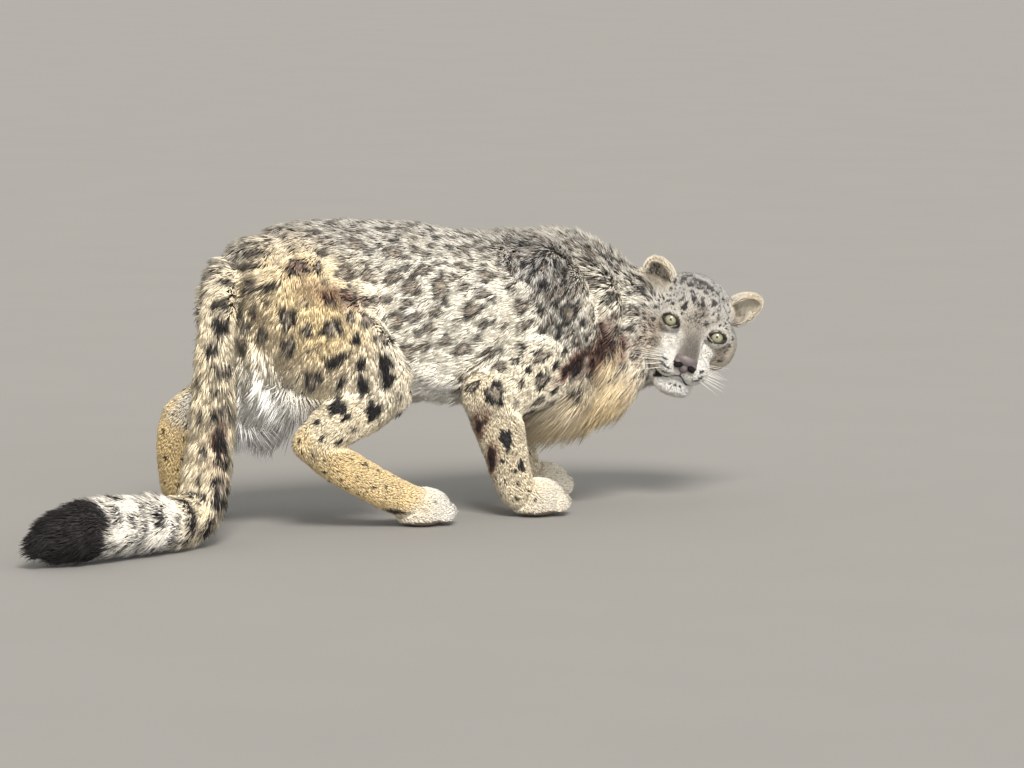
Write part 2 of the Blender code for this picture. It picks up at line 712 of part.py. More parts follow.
def tail_locks():
    """Rings of locks that overlap like tiles along the whole tail, each ring turned half a lock from the last."""
    rows = smooth_path(TAIL_STATIONS, 8)
    end = Vector(rows[-1][:3])
    found, run, place = [], 0.0, 0
    for i in range(1, len(rows) - 1):
        here, after = Vector(rows[i][:3]), Vector(rows[i + 1][:3])
        run += (here - Vector(rows[i - 1][:3])).length
        longest = (end - here).length + 0.030
        if run < TAIL_LOCK_STEP or longest < 0.060:
            continue
        run, place = 0.0, place + 1
        along = (after - here).normalized()
        coat = rows[i][3]
        aside = along.cross(Vector((0, 0, 1))).normalized()
        upright = aside.cross(along)
        for k in range(TAIL_LOCKS_ROUND):
            angle = 2 * math.pi * (k + 0.5 * (place % 2)) / TAIL_LOCKS_ROUND + dice.uniform(-0.12, 0.12)
            out = aside * math.cos(angle) + upright * math.sin(angle)
            length = min(longest, TAIL_LOCK_LENGTH * dice.uniform(0.92, 1.12))
            lift = math.asin(min(0.7, coat * (1.0 - TAIL_CORE) / length + 0.04))
            found.append(lock(here + out * coat * TAIL_CORE, out, along, length, coat * 1.2, lift))
    return found


def smooth_finish(thing, coat):
    colour, roughness = COATS[coat]
    material = bpy.data.materials.get(coat)
    if material is None:
        material = bpy.data.materials.new(coat)
        material.use_nodes = True
        shader = material.node_tree.nodes["Principled BSDF"]
        shader.inputs["Base Color"].default_value = (*colour, 1)
        shader.inputs["Roughness"].default_value = roughness
        shader.inputs["Metallic"].default_value = 0.0
    thing.data.materials.clear()
    thing.data.materials.append(material)
    thing.data.shade_smooth()
    thing.data.set_sharp_from_angle(angle=math.radians(40))


def leg_outlines():
    """Side outlines of the slabs that part each leg from the trunk, as X and Z."""
    return {
        "right_hind": [
            (-0.345, 0.300), (-0.352, 0.372), (-0.325, 0.430), (-0.262, 0.462), (-0.190, 0.446), (-0.135, 0.392),
            (-0.096, 0.325), (-0.066, 0.262), (-0.050, 0.200), (-0.040, 0.120), (0.050, 0.070), (0.050, -0.030),
            (-0.120, -0.035), (-0.330, -0.030), (-0.330, 0.110), (-0.322, 0.215),
        ],
        "left_hind": [
            (-0.352, 0.310), (-0.356, 0.375), (-0.330, 0.428), (-0.270, 0.458), (-0.205, 0.442), (-0.158, 0.395),
            (-0.128, 0.330), (-0.118, 0.265), (-0.130, 0.190), (-0.200, 0.130), (-0.230, 0.060), (-0.225, -0.030),
            (-0.330, -0.035), (-0.440, -0.030), (-0.445, 0.100), (-0.430, 0.215), (-0.385, 0.255),
        ],
        "right_fore": [
            (0.150, 0.436), (0.200, 0.452), (0.252, 0.436), (0.288, 0.385), (0.316, 0.320), (0.312, 0.250),
            (0.262, 0.212), (0.196, 0.182), (0.185, 0.110), (0.270, 0.075), (0.270, -0.030), (0.150, -0.035),
            (0.040, -0.030), (0.030, 0.100), (0.022, 0.190), (0.060, 0.262), (0.112, 0.330), (0.130, 0.390),
        ],
        "left_fore": [
            (0.155, 0.436), (0.205, 0.452), (0.258, 0.436), (0.294, 0.385), (0.322, 0.320), (0.326, 0.250),
            (0.280, 0.200), (0.284, 0.140), (0.390, 0.085), (0.400, -0.030), (0.280, -0.035), (0.160, -0.030),
            (0.150, 0.080), (0.125, 0.190), (0.130, 0.262), (0.140, 0.330), (0.138, 0.390),
        ],
    }


# Planes where one piece ends and the next begins, as a point and the way the plane faces
HEAD_CUT = ((0.500, -0.004, 0.300), (0.72, -0.69, -0.05))
NECK_CUT = ((0.345, 0.000, 0.300), (1, 0, 0.12))
CHEST_BACK = 0.095
LOIN_BACK = -0.150

LEG_INNER = 0.064
LEG_LEAN = 0.075
LEG_OUTER = 0.300
LEGS = {
    "right_hind": (RIGHT_HIND, -1, ("thigh", "shank", "hindfoot")),
    "left_hind": (LEFT_HIND, 1, ("thigh", "shank", "hindfoot")),
    "right_fore": (RIGHT_FORE, -1, ("shoulder", "forearm", "forefoot")),
    "left_fore": (LEFT_FORE, 1, ("shoulder", "forearm", "forefoot")),
}


def without_legs(body):
    """The body with a slab cut away round each leg, and the legs by name."""
    legs = {}
    for name, (_, sign, _) in LEGS.items():
        outline = rounded(leg_outlines()[name])
        legs[name] = combined(body.copy(), slab(outline, sign), "INTERSECT")
        body = combined(body, slab(outline, sign, spare=GAP), "DIFFERENCE")
    return body, legs


def foot_of(stations):
    """A foot up to its cut, with its sole flat on the floor."""
    shell = bmesh.new()
    loft(shell, stations["foot"] if "foot" in stations else stations["forearm"], sides=20)
    add_paw(shell, stations, 0.086, 0.094)
    foot = kept_side(sculpt(shell, 0.0036, 4, 540), *stations["lower_cut"])
    return kept_side(foot, (0, 0, 0), (0, 0, 1), gap=0)


def parted_leg(name, leg):
    """The upper and the middle piece of a leg, which end at the planes where they meet each other and the foot."""
    stations, _, words = LEGS[name]
    side = name.split("_")[0]
    top, rest = parted(leg, *stations["upper_cut"])
    at, way = stations["lower_cut"]
    return {f"{side}_{words[0]}": top, f"{side}_{words[1]}": kept_side(rest, at, -Vector(way))}


def build_body():
    """Every node of the leopard as name: mesh."""
    shell = bmesh.new()
    add_trunk(shell)
    for stations, _, _ in LEGS.values():
        add_leg(shell, stations)
    body, legs = without_legs(sculpt(shell, 0.0075, 9, 2600))

    tail_at = Vector(TAIL_STATIONS[1][0]) * 0.6 + Vector(TAIL_STATIONS[0][0]) * 0.4
    tail_way = Vector(TAIL_STATIONS[1][0]) - Vector(TAIL_STATIONS[0][0])
    body = kept_side(body, tail_at, -tail_way)
    pieces = {f"{name.split('_')[0]}_{LEGS[name][2][2]}": foot_of(LEGS[name][0]) for name in LEGS}
    pieces.update(build_tail(tail_at, tail_way))
    pieces.update(build_head(*HEAD_CUT))

    others = list(pieces.values())
    for name in ("right_hind", "left_hind"):
        near = others + [body] + [leg for other, leg in legs.items() if other != name]
        legs[name] = with_locks(legs[name], thigh_locks(LEGS[name][0], legs[name], near))
    for name, leg in legs.items():
        pieces.update(parted_leg(name, leg))
    body = with_locks(body, trunk_locks(body, others + list(legs.values())))

    neck_on, trunk = parted(body, *NECK_CUT)
    neck = kept_side(neck_on, HEAD_CUT[0], -Vector(HEAD_CUT[1]))
    for name in ("right_ear", "left_ear", "lower_jaw"):
        neck = combined(neck, grown(pieces[name], 0.0006), "DIFFERENCE")
    chest, behind = parted(trunk, (CHEST_BACK, 0, 0), (1, 0, 0))
    loin, rump = parted(behind, (LOIN_BACK, 0, 0), (1, 0, 0))
    pieces.update(neck=neck, chest=chest, loin=loin, rump=rump)
    return pieces


def build_tail(cut, way):
    """The tail as four lengths of one loft."""
    shell = bmesh.new()
    loft(shell, [(c, r * TAIL_CORE, r * TAIL_CORE) for c, r in TAIL_STATIONS], sides=12, steps=2)
    tail = with_locks(mesh_from("tail", shell), tail_locks())
    tail = kept_side(tail, cut, way)
    tail = kept_side(tail, (0, 0, 0), (0, 0, 1), gap=0)
    found = {}
    for name, index in (("tail_root", 4), ("tail_upper", 7), ("tail_lower", 9)):
        at = Vector(TAIL_STATIONS[index][0])
        on = Vector(TAIL_STATIONS[index + 1][0]) - Vector(TAIL_STATIONS[index - 1][0])
        tail, found[name] = parted(tail, at, on)
    found["tail_tip"] = tail
    return found


def build_head(cut, way):
    """Head, lower jaw, nose, eyes and ears, which stand clear of one another by a thin gap."""
    matrix = head_matrix()
    shell = bmesh.new()
    add_head(shell, matrix)
    loft(shell, [(c, w, h) for c, w, h in NECK[2:]], sides=28)
    whole = sculpt(shell, 0.0026, 4, 2300)
    shell = bmesh.new()
    add_jaw(shell, matrix)
    jaw = kept_side(sculpt(shell, 0.0030, 4, 300), cut, way)
    jaw = combined(jaw, grown(whole, 0.0006), "DIFFERENCE")
    nose, seat = nose_mesh(matrix)
    ears = {side: ear_mesh(matrix, sign, whole) for side, sign in SIDES.items()}
    head = with_locks(whole, ruff_locks(matrix, whole, [jaw, *ears.values()]))
    head = kept_side(head, cut, way)
    head = combined(head, seat, "DIFFERENCE")
    found = {"nose": nose, "lower_jaw": jaw}
    for side, at in eye_places(matrix).items():
        head = combined(head, eyeball(at, EYE_RADIUS + GAP), "DIFFERENCE")
        head = combined(head, almond(matrix, SIDES[side]), "DIFFERENCE")
        found[f"{side}_eye"] = eyeball(at, EYE_RADIUS)
        found[f"{side}_ear"] = ears[side]
    found["head"] = head
    return found


def coat_of(name):
    for words, coat in (
        (("eye",), "iris"), (("nose",), "nose_leather"), (("jaw",), "white"), (("tail",), "ringed"),
        (("foot",), "sole"), (("neck", "head", "ear"), "smoke"),
    ):
        if any(word in name for word in words):
            return coat
    return "cream"


def centre_on_floor(things):
    """Moves every node alike, so that the origin is the middle of the box's underside."""
    corners = [vertex.co for thing in things for vertex in thing.data.vertices]
    low = Vector(min(c[axis] for c in corners) for axis in range(3))
    high = Vector(max(c[axis] for c in corners) for axis in range(3))
    shift = Matrix.Translation((-(low.x + high.x) / 2, -(low.y + high.y) / 2, -low.z))
    for thing in things:
        thing.data.transform(shift)


def main():
    clear_scene()
    things = []
    for name, mesh in build_body().items():
        thing = object_from(name, mesh)
        smooth_finish(thing, coat_of(name))
        things.append(thing)
    centre_on_floor(things)


main()
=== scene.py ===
# %% [markdown]
# # A snow leopard in her coat
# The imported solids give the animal's size, pose and main shapes. This script dresses them for a render:
# one skin without seams, a coat of solid hair tufts, eyes, nose, lips and whiskers. Everything is in
# metres, and every piece stays where the solids are.

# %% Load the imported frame
import math

import bmesh
import bpy
import numpy as np
from mathutils import Matrix, Vector
from mathutils.bvhtree import BVHTree
from mathutils.kdtree import KDTree


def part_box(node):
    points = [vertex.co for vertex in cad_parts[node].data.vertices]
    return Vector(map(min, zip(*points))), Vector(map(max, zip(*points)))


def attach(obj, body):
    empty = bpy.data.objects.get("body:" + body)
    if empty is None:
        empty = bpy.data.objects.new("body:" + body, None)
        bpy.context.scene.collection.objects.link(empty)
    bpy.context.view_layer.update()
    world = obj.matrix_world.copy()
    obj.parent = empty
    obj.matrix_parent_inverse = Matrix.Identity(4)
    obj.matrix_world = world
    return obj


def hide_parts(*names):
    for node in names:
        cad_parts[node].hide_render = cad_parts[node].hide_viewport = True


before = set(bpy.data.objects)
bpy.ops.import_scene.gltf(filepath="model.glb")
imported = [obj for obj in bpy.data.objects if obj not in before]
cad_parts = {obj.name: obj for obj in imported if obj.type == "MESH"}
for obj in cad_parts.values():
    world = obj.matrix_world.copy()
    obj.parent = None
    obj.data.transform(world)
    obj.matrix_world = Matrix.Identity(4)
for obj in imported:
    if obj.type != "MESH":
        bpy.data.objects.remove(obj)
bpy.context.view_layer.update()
print("nodes in the frame:", len(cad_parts))

# %% [markdown]
# ## Colours and nodes
# Colours are written as sRGB hex values, the way a colour picker shows them. Blender's shaders work with
# linear light, so one function converts them. A second small function adds a node with its settings and
# its links.

# %% Colour and node helpers
MM = 0.001


def linear(code):
    """An sRGB hex colour as linear red, green, blue and alpha."""
    parts = [int(code[k:k + 2], 16) / 255 for k in (1, 3, 5)]
    return [c / 12.92 if c <= 0.04045 else ((c + 0.055) / 1.055) ** 2.4 for c in parts] + [1.0]


def node(tree, kind, links=(), **settings):
    """Adds a node. settings are its own properties or its inputs, links are (input, socket to read)."""
    made = tree.nodes.new("ShaderNode" + kind)
    for name, value in settings.items():
        if hasattr(made, name):
            setattr(made, name, value)
    for name, value in links:
        socket = made.inputs[name]
        if isinstance(value, bpy.types.NodeSocket):
            tree.links.new(value, socket)
        else:
            socket.default_value = value
    return made


def material_with(name, roughness, ior=1.45):
    """A new material, its node tree and its Principled shader."""
    material = bpy.data.materials.new(name)
    material.use_nodes = True
    shader = material.node_tree.nodes["Principled BSDF"]
    shader.inputs["Roughness"].default_value = roughness
    shader.inputs["IOR"].default_value = ior
    return material, material.node_tree, shader


# %% [markdown]
# ## The forms under the coat
# A body like this can be sculpted, or built from simple closed forms that a voxel remesh melts together.
# The second way is used here, because each form keeps a name and a size: a tube lofted through a few
# stations, or an ellipsoid. They are the same forms that the solids were made from.

# %% A smooth curve through stations
DOME_ANGLES = [math.radians(angle) for angle in (75, 50, 25)]


def between(a, b, c, d, t):
    """The value at a share t of the way from b to c, on a smooth curve that comes from a and goes on to d."""
    square = 2 * a - 5 * b + 4 * c - d
    cube = 3 * b - a - 3 * c + d
    return 0.5 * (2 * b + (c - a) * t + square * t**2 + cube * t**3)


def smooth_path(stations, steps):
    """The stations' numbers with steps - 1 more between each two, on a curve through them all."""
    rows = [list(centre) + list(sizes) for centre, *sizes in stations]
    found = []
    for i in range(len(rows) - 1):
        four = rows[max(i - 1, 0)], rows[i], rows[i + 1], rows[min(i + 2, len(rows) - 1)]
        for step in range(steps):
            found.append([between(a, b, c, d, step / steps) for a, b, c, d in zip(*four)])
    return found + [rows[-1]]


print("halfway between 1 and 2:", between(0, 1, 2, 3, 0.5))

# %% [markdown]
# ### Tubes and ellipsoids
# A body is mostly tubes and eggs. A tube is rings of points along the smooth curve, each ring square to it,
# closed at both ends by a dome like the end of a limb. An ellipsoid gives a muscle, a toe or a cheek at once.

# %% Tubes and ellipsoids
def dome(ring, way):
    """Smaller and smaller rings that round off one end of a tube."""
    centre, wide, deep, along = ring
    reach = min(wide.length, deep.length) * way
    return [
        (centre + along * reach * math.sin(a), wide * math.cos(a), deep * math.cos(a), along)
        for a in DOME_ANGLES
    ]


def rings_along(stations, steps, across):
    """Centre, two half axes and direction of each ring of a tube."""
    rows = smooth_path([(c, s[0], s[-1]) for c, *s in stations], steps)
    centres = [Vector(row[:3]) for row in rows]
    rings = []
    for i, row in enumerate(rows):
        along = (centres[min(i + 1, len(rows) - 1)] - centres[max(i - 1, 0)]).normalized()
        wide = (across - along * across.dot(along)).normalized()
        rings.append((centres[i], wide * row[3], along.cross(wide) * row[4], along))
    return dome(rings[0], -1) + rings + dome(rings[-1], 1)[::-1]


def loft(shell, stations, sides=24, steps=4, across=Vector((0, 1, 0))):
    """A closed tube with round ends through stations of centre, half width and half depth."""
    turns = [2 * math.pi * k / sides for k in range(sides)]
    loops = [
        [shell.verts.new(centre + wide * math.cos(a) + deep * math.sin(a)) for a in turns]
        for centre, wide, deep, _ in rings_along(stations, steps, across)
    ]
    for lower, upper in zip(loops, loops[1:]):
        for k in range(sides):
            shell.faces.new((lower[k], lower[(k + 1) % sides], upper[(k + 1) % sides], upper[k]))
    shell.faces.new(loops[0][::-1])
    shell.faces.new(loops[-1])


def ball(shell, centre, radii, turn=None, subdivisions=3):
    """An ellipsoid. turn is a rotation matrix about its own centre."""
    matrix = Matrix.Translation(centre) @ (turn or Matrix.Identity(4)) @ Matrix.Diagonal((*radii, 1))
    bmesh.ops.create_icosphere(shell, subdivisions=subdivisions, radius=1, matrix=matrix)


def axes_matrix(place, x, y, z):
    """The matrix of three axes that meet at a place."""
    return Matrix.Translation(place) @ Matrix((x, y, z)).transposed().to_4x4()


trial = bmesh.new()
loft(trial, [((0, 0, 0), 1.0), ((1, 0, 0), 1.0)])
print("faces in one tube:", len(trial.faces))
trial.free()

# %% [markdown]
# ### Trunk, neck and tail
# A crouching cat's back is a long shallow curve, highest over the hips. Stations give the height of the
# back and of the underside, and the half width.

# %% Trunk, neck and tail stations
SIDES = {"right": -1, "left": 1}
# Along the body, height of the back and of the underside, and half width
TRUNK = [
    (-0.368, 0.462, 0.310, 0.030),
    (-0.336, 0.490, 0.265, 0.070),
    (-0.280, 0.498, 0.222, 0.098),
    (-0.220, 0.505, 0.205, 0.104),
    (-0.120, 0.505, 0.195, 0.106),
    (-0.030, 0.498, 0.210, 0.110),
    (0.060, 0.482, 0.204, 0.114),
    (0.140, 0.467, 0.198, 0.117),
    (0.210, 0.462, 0.195, 0.115),
    (0.270, 0.461, 0.188, 0.106),
    (0.325, 0.446, 0.196, 0.093),
    (0.365, 0.420, 0.215, 0.076),
]
# Middle, half width and half depth
NECK = [
    ((0.260, 0.000, 0.322), 0.090, 0.130),
    ((0.335, 0.004, 0.313), 0.086, 0.124),
    ((0.400, 0.008, 0.304), 0.080, 0.101),
    ((0.452, 0.008, 0.302), 0.074, 0.088),
    ((0.500, -0.004, 0.300), 0.068, 0.088),
    ((0.520, -0.026, 0.305), 0.062, 0.076),
]
# The tail's forms are this share of its furred radius
TAIL_CORE = 0.74
# Middle and furred radius
TAIL = [
    ((-0.326, 0.000, 0.424), 0.040),
    ((-0.368, -0.026, 0.416), 0.040),
    ((-0.398, -0.064, 0.374), 0.041),
    ((-0.421, -0.094, 0.308), 0.040),
    ((-0.436, -0.116, 0.220), 0.041),
    ((-0.456, -0.136, 0.134), 0.043),
    ((-0.486, -0.162, 0.069), 0.046),
    ((-0.540, -0.196, 0.048), 0.048),
    ((-0.608, -0.228, 0.051), 0.052),
    ((-0.680, -0.254, 0.054), 0.055),
    ((-0.746, -0.274, 0.053), 0.054),
    ((-0.796, -0.286, 0.048), 0.045),
    ((-0.816, -0.291, 0.044), 0.032),
]
# Loose skin that fills the folds in front of the thigh and of the shoulder: middle and radii
FOLDS = [((-0.150, 0.068, 0.345), (0.078, 0.050, 0.088)), ((0.312, 0.056, 0.335), (0.062, 0.052, 0.085))]
TRUNK_TUBE = [((x, 0, (top + under) / 2), half, (top - under) / 2) for x, top, under, half in TRUNK]
TAIL_TUBE = [(centre, radius * TAIL_CORE, radius * TAIL_CORE) for centre, radius in TAIL]


def add_trunk(shell):
    """Trunk, neck and tail as three tubes, and the folds of loose skin on both sides."""
    loft(shell, TRUNK_TUBE, sides=40, steps=6)
    for sign in SIDES.values():
        for (x, y, z), radii in FOLDS:
            ball(shell, (x, y * sign, z), radii)
    loft(shell, NECK, sides=36, steps=6)
    loft(shell, TAIL_TUBE, sides=28, steps=6)


print("stations of trunk, neck and tail:", len(TRUNK), len(NECK), len(TAIL))

# %% [markdown]
# ### Legs and feet
# Each leg is two or three tubes that overlap at the joints. The feet are broad, as they are on this
# species, with four toes in an arc in front of one large pad.

# %% Leg stations
# Middle, half width and half depth of each station; a paw has its middle and its heading in degrees
LEGS = {
    "right_hind": {
        "thigh": [
            ((-0.262, -0.052, 0.405), 0.052, 0.098), ((-0.225, -0.078, 0.338), 0.056, 0.103),
            ((-0.172, -0.102, 0.280), 0.052, 0.086), ((-0.126, -0.116, 0.236), 0.045, 0.062),
        ],
        "shank": [
            ((-0.120, -0.116, 0.238), 0.044, 0.056), ((-0.165, -0.120, 0.208), 0.041, 0.053),
            ((-0.215, -0.121, 0.177), 0.036, 0.043), ((-0.256, -0.120, 0.152), 0.031, 0.034),
        ],
        "foot": [
            ((-0.262, -0.120, 0.150), 0.029, 0.032), ((-0.220, -0.120, 0.118), 0.031, 0.034),
            ((-0.160, -0.121, 0.082), 0.032, 0.033), ((-0.100, -0.122, 0.050), 0.036, 0.031),
            ((-0.065, -0.123, 0.036), 0.040, 0.030),
        ],
        "paw": ((-0.052, -0.123, 0.030), 0),
    },
    "left_hind": {
        "thigh": [
            ((-0.270, 0.052, 0.400), 0.052, 0.098), ((-0.246, 0.080, 0.338), 0.055, 0.098),
            ((-0.222, 0.102, 0.288), 0.050, 0.080), ((-0.206, 0.114, 0.254), 0.045, 0.062),
        ],
        "shank": [
            ((-0.206, 0.114, 0.254), 0.044, 0.058), ((-0.262, 0.119, 0.232), 0.041, 0.052),
            ((-0.322, 0.118, 0.204), 0.036, 0.043), ((-0.374, 0.117, 0.180), 0.030, 0.034),
        ],
        "foot": [
            ((-0.378, 0.117, 0.180), 0.028, 0.032), ((-0.386, 0.119, 0.145), 0.030, 0.033),
            ((-0.383, 0.127, 0.098), 0.031, 0.032), ((-0.368, 0.139, 0.056), 0.035, 0.033),
            ((-0.346, 0.150, 0.036), 0.039, 0.030),
        ],
        "paw": ((-0.335, 0.157, 0.030), 28),
    },
    "right_fore": {
        "shoulder": [
            ((0.195, -0.064, 0.405), 0.040, 0.070), ((0.222, -0.080, 0.350), 0.046, 0.082),
            ((0.248, -0.088, 0.292), 0.048, 0.070),
        ],
        "arm": [
            ((0.250, -0.088, 0.286), 0.047, 0.066), ((0.178, -0.095, 0.248), 0.045, 0.070),
            ((0.100, -0.100, 0.208), 0.042, 0.054),
        ],
        "forearm": [
            ((0.088, -0.101, 0.212), 0.041, 0.050), ((0.102, -0.103, 0.165), 0.041, 0.046),
            ((0.116, -0.105, 0.115), 0.037, 0.040), ((0.128, -0.106, 0.070), 0.034, 0.035),
            ((0.140, -0.107, 0.044), 0.034, 0.032),
        ],
        "paw": ((0.176, -0.109, 0.031), -2),
    },
    "left_fore": {
        "shoulder": [
            ((0.200, 0.064, 0.405), 0.040, 0.070), ((0.232, 0.080, 0.350), 0.046, 0.080),
            ((0.258, 0.088, 0.296), 0.048, 0.066),
        ],
        "arm": [
            ((0.262, 0.088, 0.290), 0.047, 0.060), ((0.228, 0.094, 0.248), 0.045, 0.066),
            ((0.192, 0.098, 0.208), 0.042, 0.054),
        ],
        "forearm": [
            ((0.192, 0.098, 0.210), 0.041, 0.050), ((0.216, 0.096, 0.160), 0.040, 0.045),
            ((0.240, 0.093, 0.112), 0.036, 0.039), ((0.256, 0.091, 0.070), 0.034, 0.035),
            ((0.266, 0.090, 0.044), 0.034, 0.032),
        ],
        "paw": ((0.300, 0.089, 0.031), 4),
    },
}
print("legs:", ", ".join(LEGS))

# %% [markdown]
# The foot spreads wide so that it carries the cat on snow. A low ellipsoid makes its back and another one
# its pad. Every toe is an egg with a knuckle behind it, turned outwards a little like the fingers of an
# open hand.

# %% Feet
PAW_LONG = 86 * MM
PAW_WIDE = 94 * MM
# Ahead of the foot's middle, aside as a share of the row's half width, size, and spread in degrees
TOES = ((0.022, -0.64, 0.92, -16), (0.036, -0.24, 1.0, -5), (0.036, 0.22, 1.0, 5), (0.024, 0.62, 0.94, 16))
TOE_ROW = 0.52
KNUCKLE_ROW = 0.48
TOE = (0.021, 0.0125, 0.0185)
KNUCKLE = (0.020, 0.0115, 0.0175)
KNUCKLE_BACK = 0.018


def add_paw(shell, place, heading):
    """Four toes with their knuckles behind them, in front of a broad pad."""
    spin = Matrix.Rotation(math.radians(heading), 4, "Z")
    turn = Matrix.Translation(place) @ spin
    ball(shell, turn @ Vector((0.000, 0, 0.003)), (PAW_LONG * 0.55, PAW_WIDE * 0.50, 0.031), spin)
    ball(shell, turn @ Vector((-0.004, 0, -0.012)), (PAW_LONG * 0.50, PAW_WIDE * 0.46, 0.020), spin)
    for ahead, aside, size, spread in TOES:
        fan = Matrix.Rotation(math.radians(heading + spread), 4, "Z")
        tip = turn @ Vector((ahead, aside * PAW_WIDE * TOE_ROW, -0.008))
        knuckle = turn @ Vector((ahead - KNUCKLE_BACK, aside * PAW_WIDE * KNUCKLE_ROW, 0.004))
        ball(shell, tip, [radius * size for radius in TOE], fan)
        ball(shell, knuckle, KNUCKLE, fan)


def add_leg(shell, leg):
    """The tubes of one leg, without its foot."""
    for name, stations in leg.items():
        if name != "paw":
            loft(shell, stations, sides=28)


print("foot", round(PAW_LONG * 1000), "mm long and", round(PAW_WIDE * 1000), "mm wide")

# %% [markdown]
# ### Head
# The head has its own axes: +X out through the nose, +Y to the animal's left and +Z through the crown.
# One matrix turns it back over the right shoulder, and everything on the face is placed in these axes.

# %% The head's axes
HEAD = (
    Matrix.Translation((0.505, -0.056, 0.298))
    @ Matrix.Rotation(math.radians(-116), 4, "Z")
    @ Matrix.Rotation(math.radians(12), 4, "Y")
    @ Matrix.Rotation(math.radians(-22), 4, "X")
)
HEAD_TURN = HEAD.to_3x3().to_4x4()
EYE_RADIUS = 15 * MM
EYES = {side: HEAD @ Vector((0.050, sign * 0.043, 0.014)) for side, sign in SIDES.items()}
NOSE_TIP = HEAD @ Vector((0.108, 0, -0.030))
print("eyes at", [tuple(round(c, 3) for c in eye) for eye in EYES.values()])

# %% [markdown]
# A cat's head is a round skull with a short deep muzzle. The muzzle ends in two whisker pads with the
# chin under them. Forms on the middle line are listed once, and forms of the sides are mirrored.

# %% Head forms
# Middle and radii of skull, forehead, jowls, root of the nose, muzzle, chin, jaw and throat
HEAD_LUMPS = [
    ((-0.024, 0, 0.025), (0.072, 0.072, 0.062)),
    ((0.014, 0, 0.036), (0.046, 0.056, 0.040)),
    ((-0.030, 0, -0.020), (0.060, 0.080, 0.056)),
    ((0.052, 0, -0.004), (0.030, 0.024, 0.034)),
    ((0.066, 0, -0.042), (0.040, 0.036, 0.034)),
    ((0.069, 0, -0.085), (0.026, 0.032, 0.017)),
    ((0.046, 0, -0.078), (0.038, 0.041, 0.023)),
    ((0.010, 0, -0.066), (0.045, 0.042, 0.026)),
]
# Middle, radii, tip up and swing outwards in degrees, of cheek, cheekbone, brow, eye socket, whisker pad
# and lip
SIDE_LUMPS = [
    ((0.000, 0.052, -0.014), (0.048, 0.040, 0.045), 0, 0),
    ((0.028, 0.036, -0.020), (0.032, 0.022, 0.026), 0, 0),
    ((0.030, 0.040, 0.030), (0.026, 0.022, 0.016), 20, 0),
    ((0.043, 0.041, 0.013), (0.0215, 0.0215, 0.0205), 0, 0),
    ((0.077, 0.0245, -0.049), (0.030, 0.0240, 0.0250), 0, -10),
    ((0.052, 0.034, -0.050), (0.030, 0.021, 0.026), 0, 0),
]
BRIDGE = [
    ((0.030, 0, 0.034), 0.024, 0.018), ((0.060, 0, 0.010), 0.0195, 0.018),
    ((0.086, 0, -0.014), 0.0185, 0.017), ((0.098, 0, -0.028), 0.0175, 0.015),
]


def add_head(shell):
    """Skull, brow, cheeks, nose bridge, whisker pads and chin."""
    for centre, radii in HEAD_LUMPS:
        ball(shell, HEAD @ Vector(centre), radii, HEAD_TURN)
    for sign in SIDES.values():
        for (x, y, z), radii, tip, swing in SIDE_LUMPS:
            swung = Matrix.Rotation(math.radians(swing) * sign, 4, "Z")
            local = swung @ Matrix.Rotation(math.radians(tip), 4, "Y")
            ball(shell, HEAD @ Vector((x, y * sign, z)), radii, HEAD_TURN @ local)
    across = HEAD.to_3x3() @ Vector((0, 1, 0))
    loft(shell, [(HEAD @ Vector(c), w, h) for c, w, h in BRIDGE], across=across)


def ear_place(sign):
    """The axes of an ear: +X out of its cup and +Z through its tip."""
    return (
        HEAD
        @ Matrix.Translation((-0.018, sign * 0.074, 0.056))
        @ Matrix.Rotation(-sign * math.radians(38), 4, "X")
        @ Matrix.Rotation(sign * math.radians(22), 4, "Z")
    )


print("forms of the head:", len(HEAD_LUMPS) + 2 * len(SIDE_LUMPS) + 1)

# %% [markdown]
# ## The camera
# The photo was taken from far off, so a long lens 10 m away gives the same flat perspective. The middle
# of the picture is a point that was worked out from the scale of 1.68 mm for each pixel.

# %% Camera at the photo's angle
low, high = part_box("right_eye")
SHIFT = (low + high) / 2 - EYES["right"]
AZIMUTH = math.radians(-30)
ELEVATION = math.radians(6)
DISTANCE = 10.0
PIXEL = 1.68 * MM
FRAME_WIDE, FRAME_HIGH = 1024, 768
BACK = Vector((
    math.sin(AZIMUTH) * math.cos(ELEVATION), -math.cos(AZIMUTH) * math.cos(ELEVATION), math.sin(ELEVATION)
))
RIGHT = Vector((math.cos(AZIMUTH), math.sin(AZIMUTH), 0))
UP = BACK.cross(RIGHT)
# The pixel that the body's own origin falls on
ORIGIN_PIXEL = (414, 515)
AIM = RIGHT * (FRAME_WIDE / 2 - ORIGIN_PIXEL[0]) * PIXEL + UP * (ORIGIN_PIXEL[1] - FRAME_HIGH / 2) * PIXEL
EYE_OF_CAMERA = AIM + BACK * DISTANCE

lens = bpy.data.cameras.new("long_lens")
lens.sensor_width = 36
lens.lens = lens.sensor_width * DISTANCE / (FRAME_WIDE * PIXEL)
lens.clip_end = 200
camera = bpy.data.objects.new("camera", lens)
bpy.context.scene.collection.objects.link(camera)
camera.matrix_world = axes_matrix(EYE_OF_CAMERA + SHIFT, RIGHT, UP, BACK)
bpy.context.scene.camera = camera
print("lens", round(lens.lens), "mm, shift to the packed frame", tuple(round(c, 4) for c in SHIFT))


# %% [markdown]
# ## One skin
# A voxel remesh turns overlapping forms into one closed skin. The head carries finer shapes than the
# body, so it gets smaller voxels, and the two skins are then joined by a Boolean where long neck hair
# hides the join.

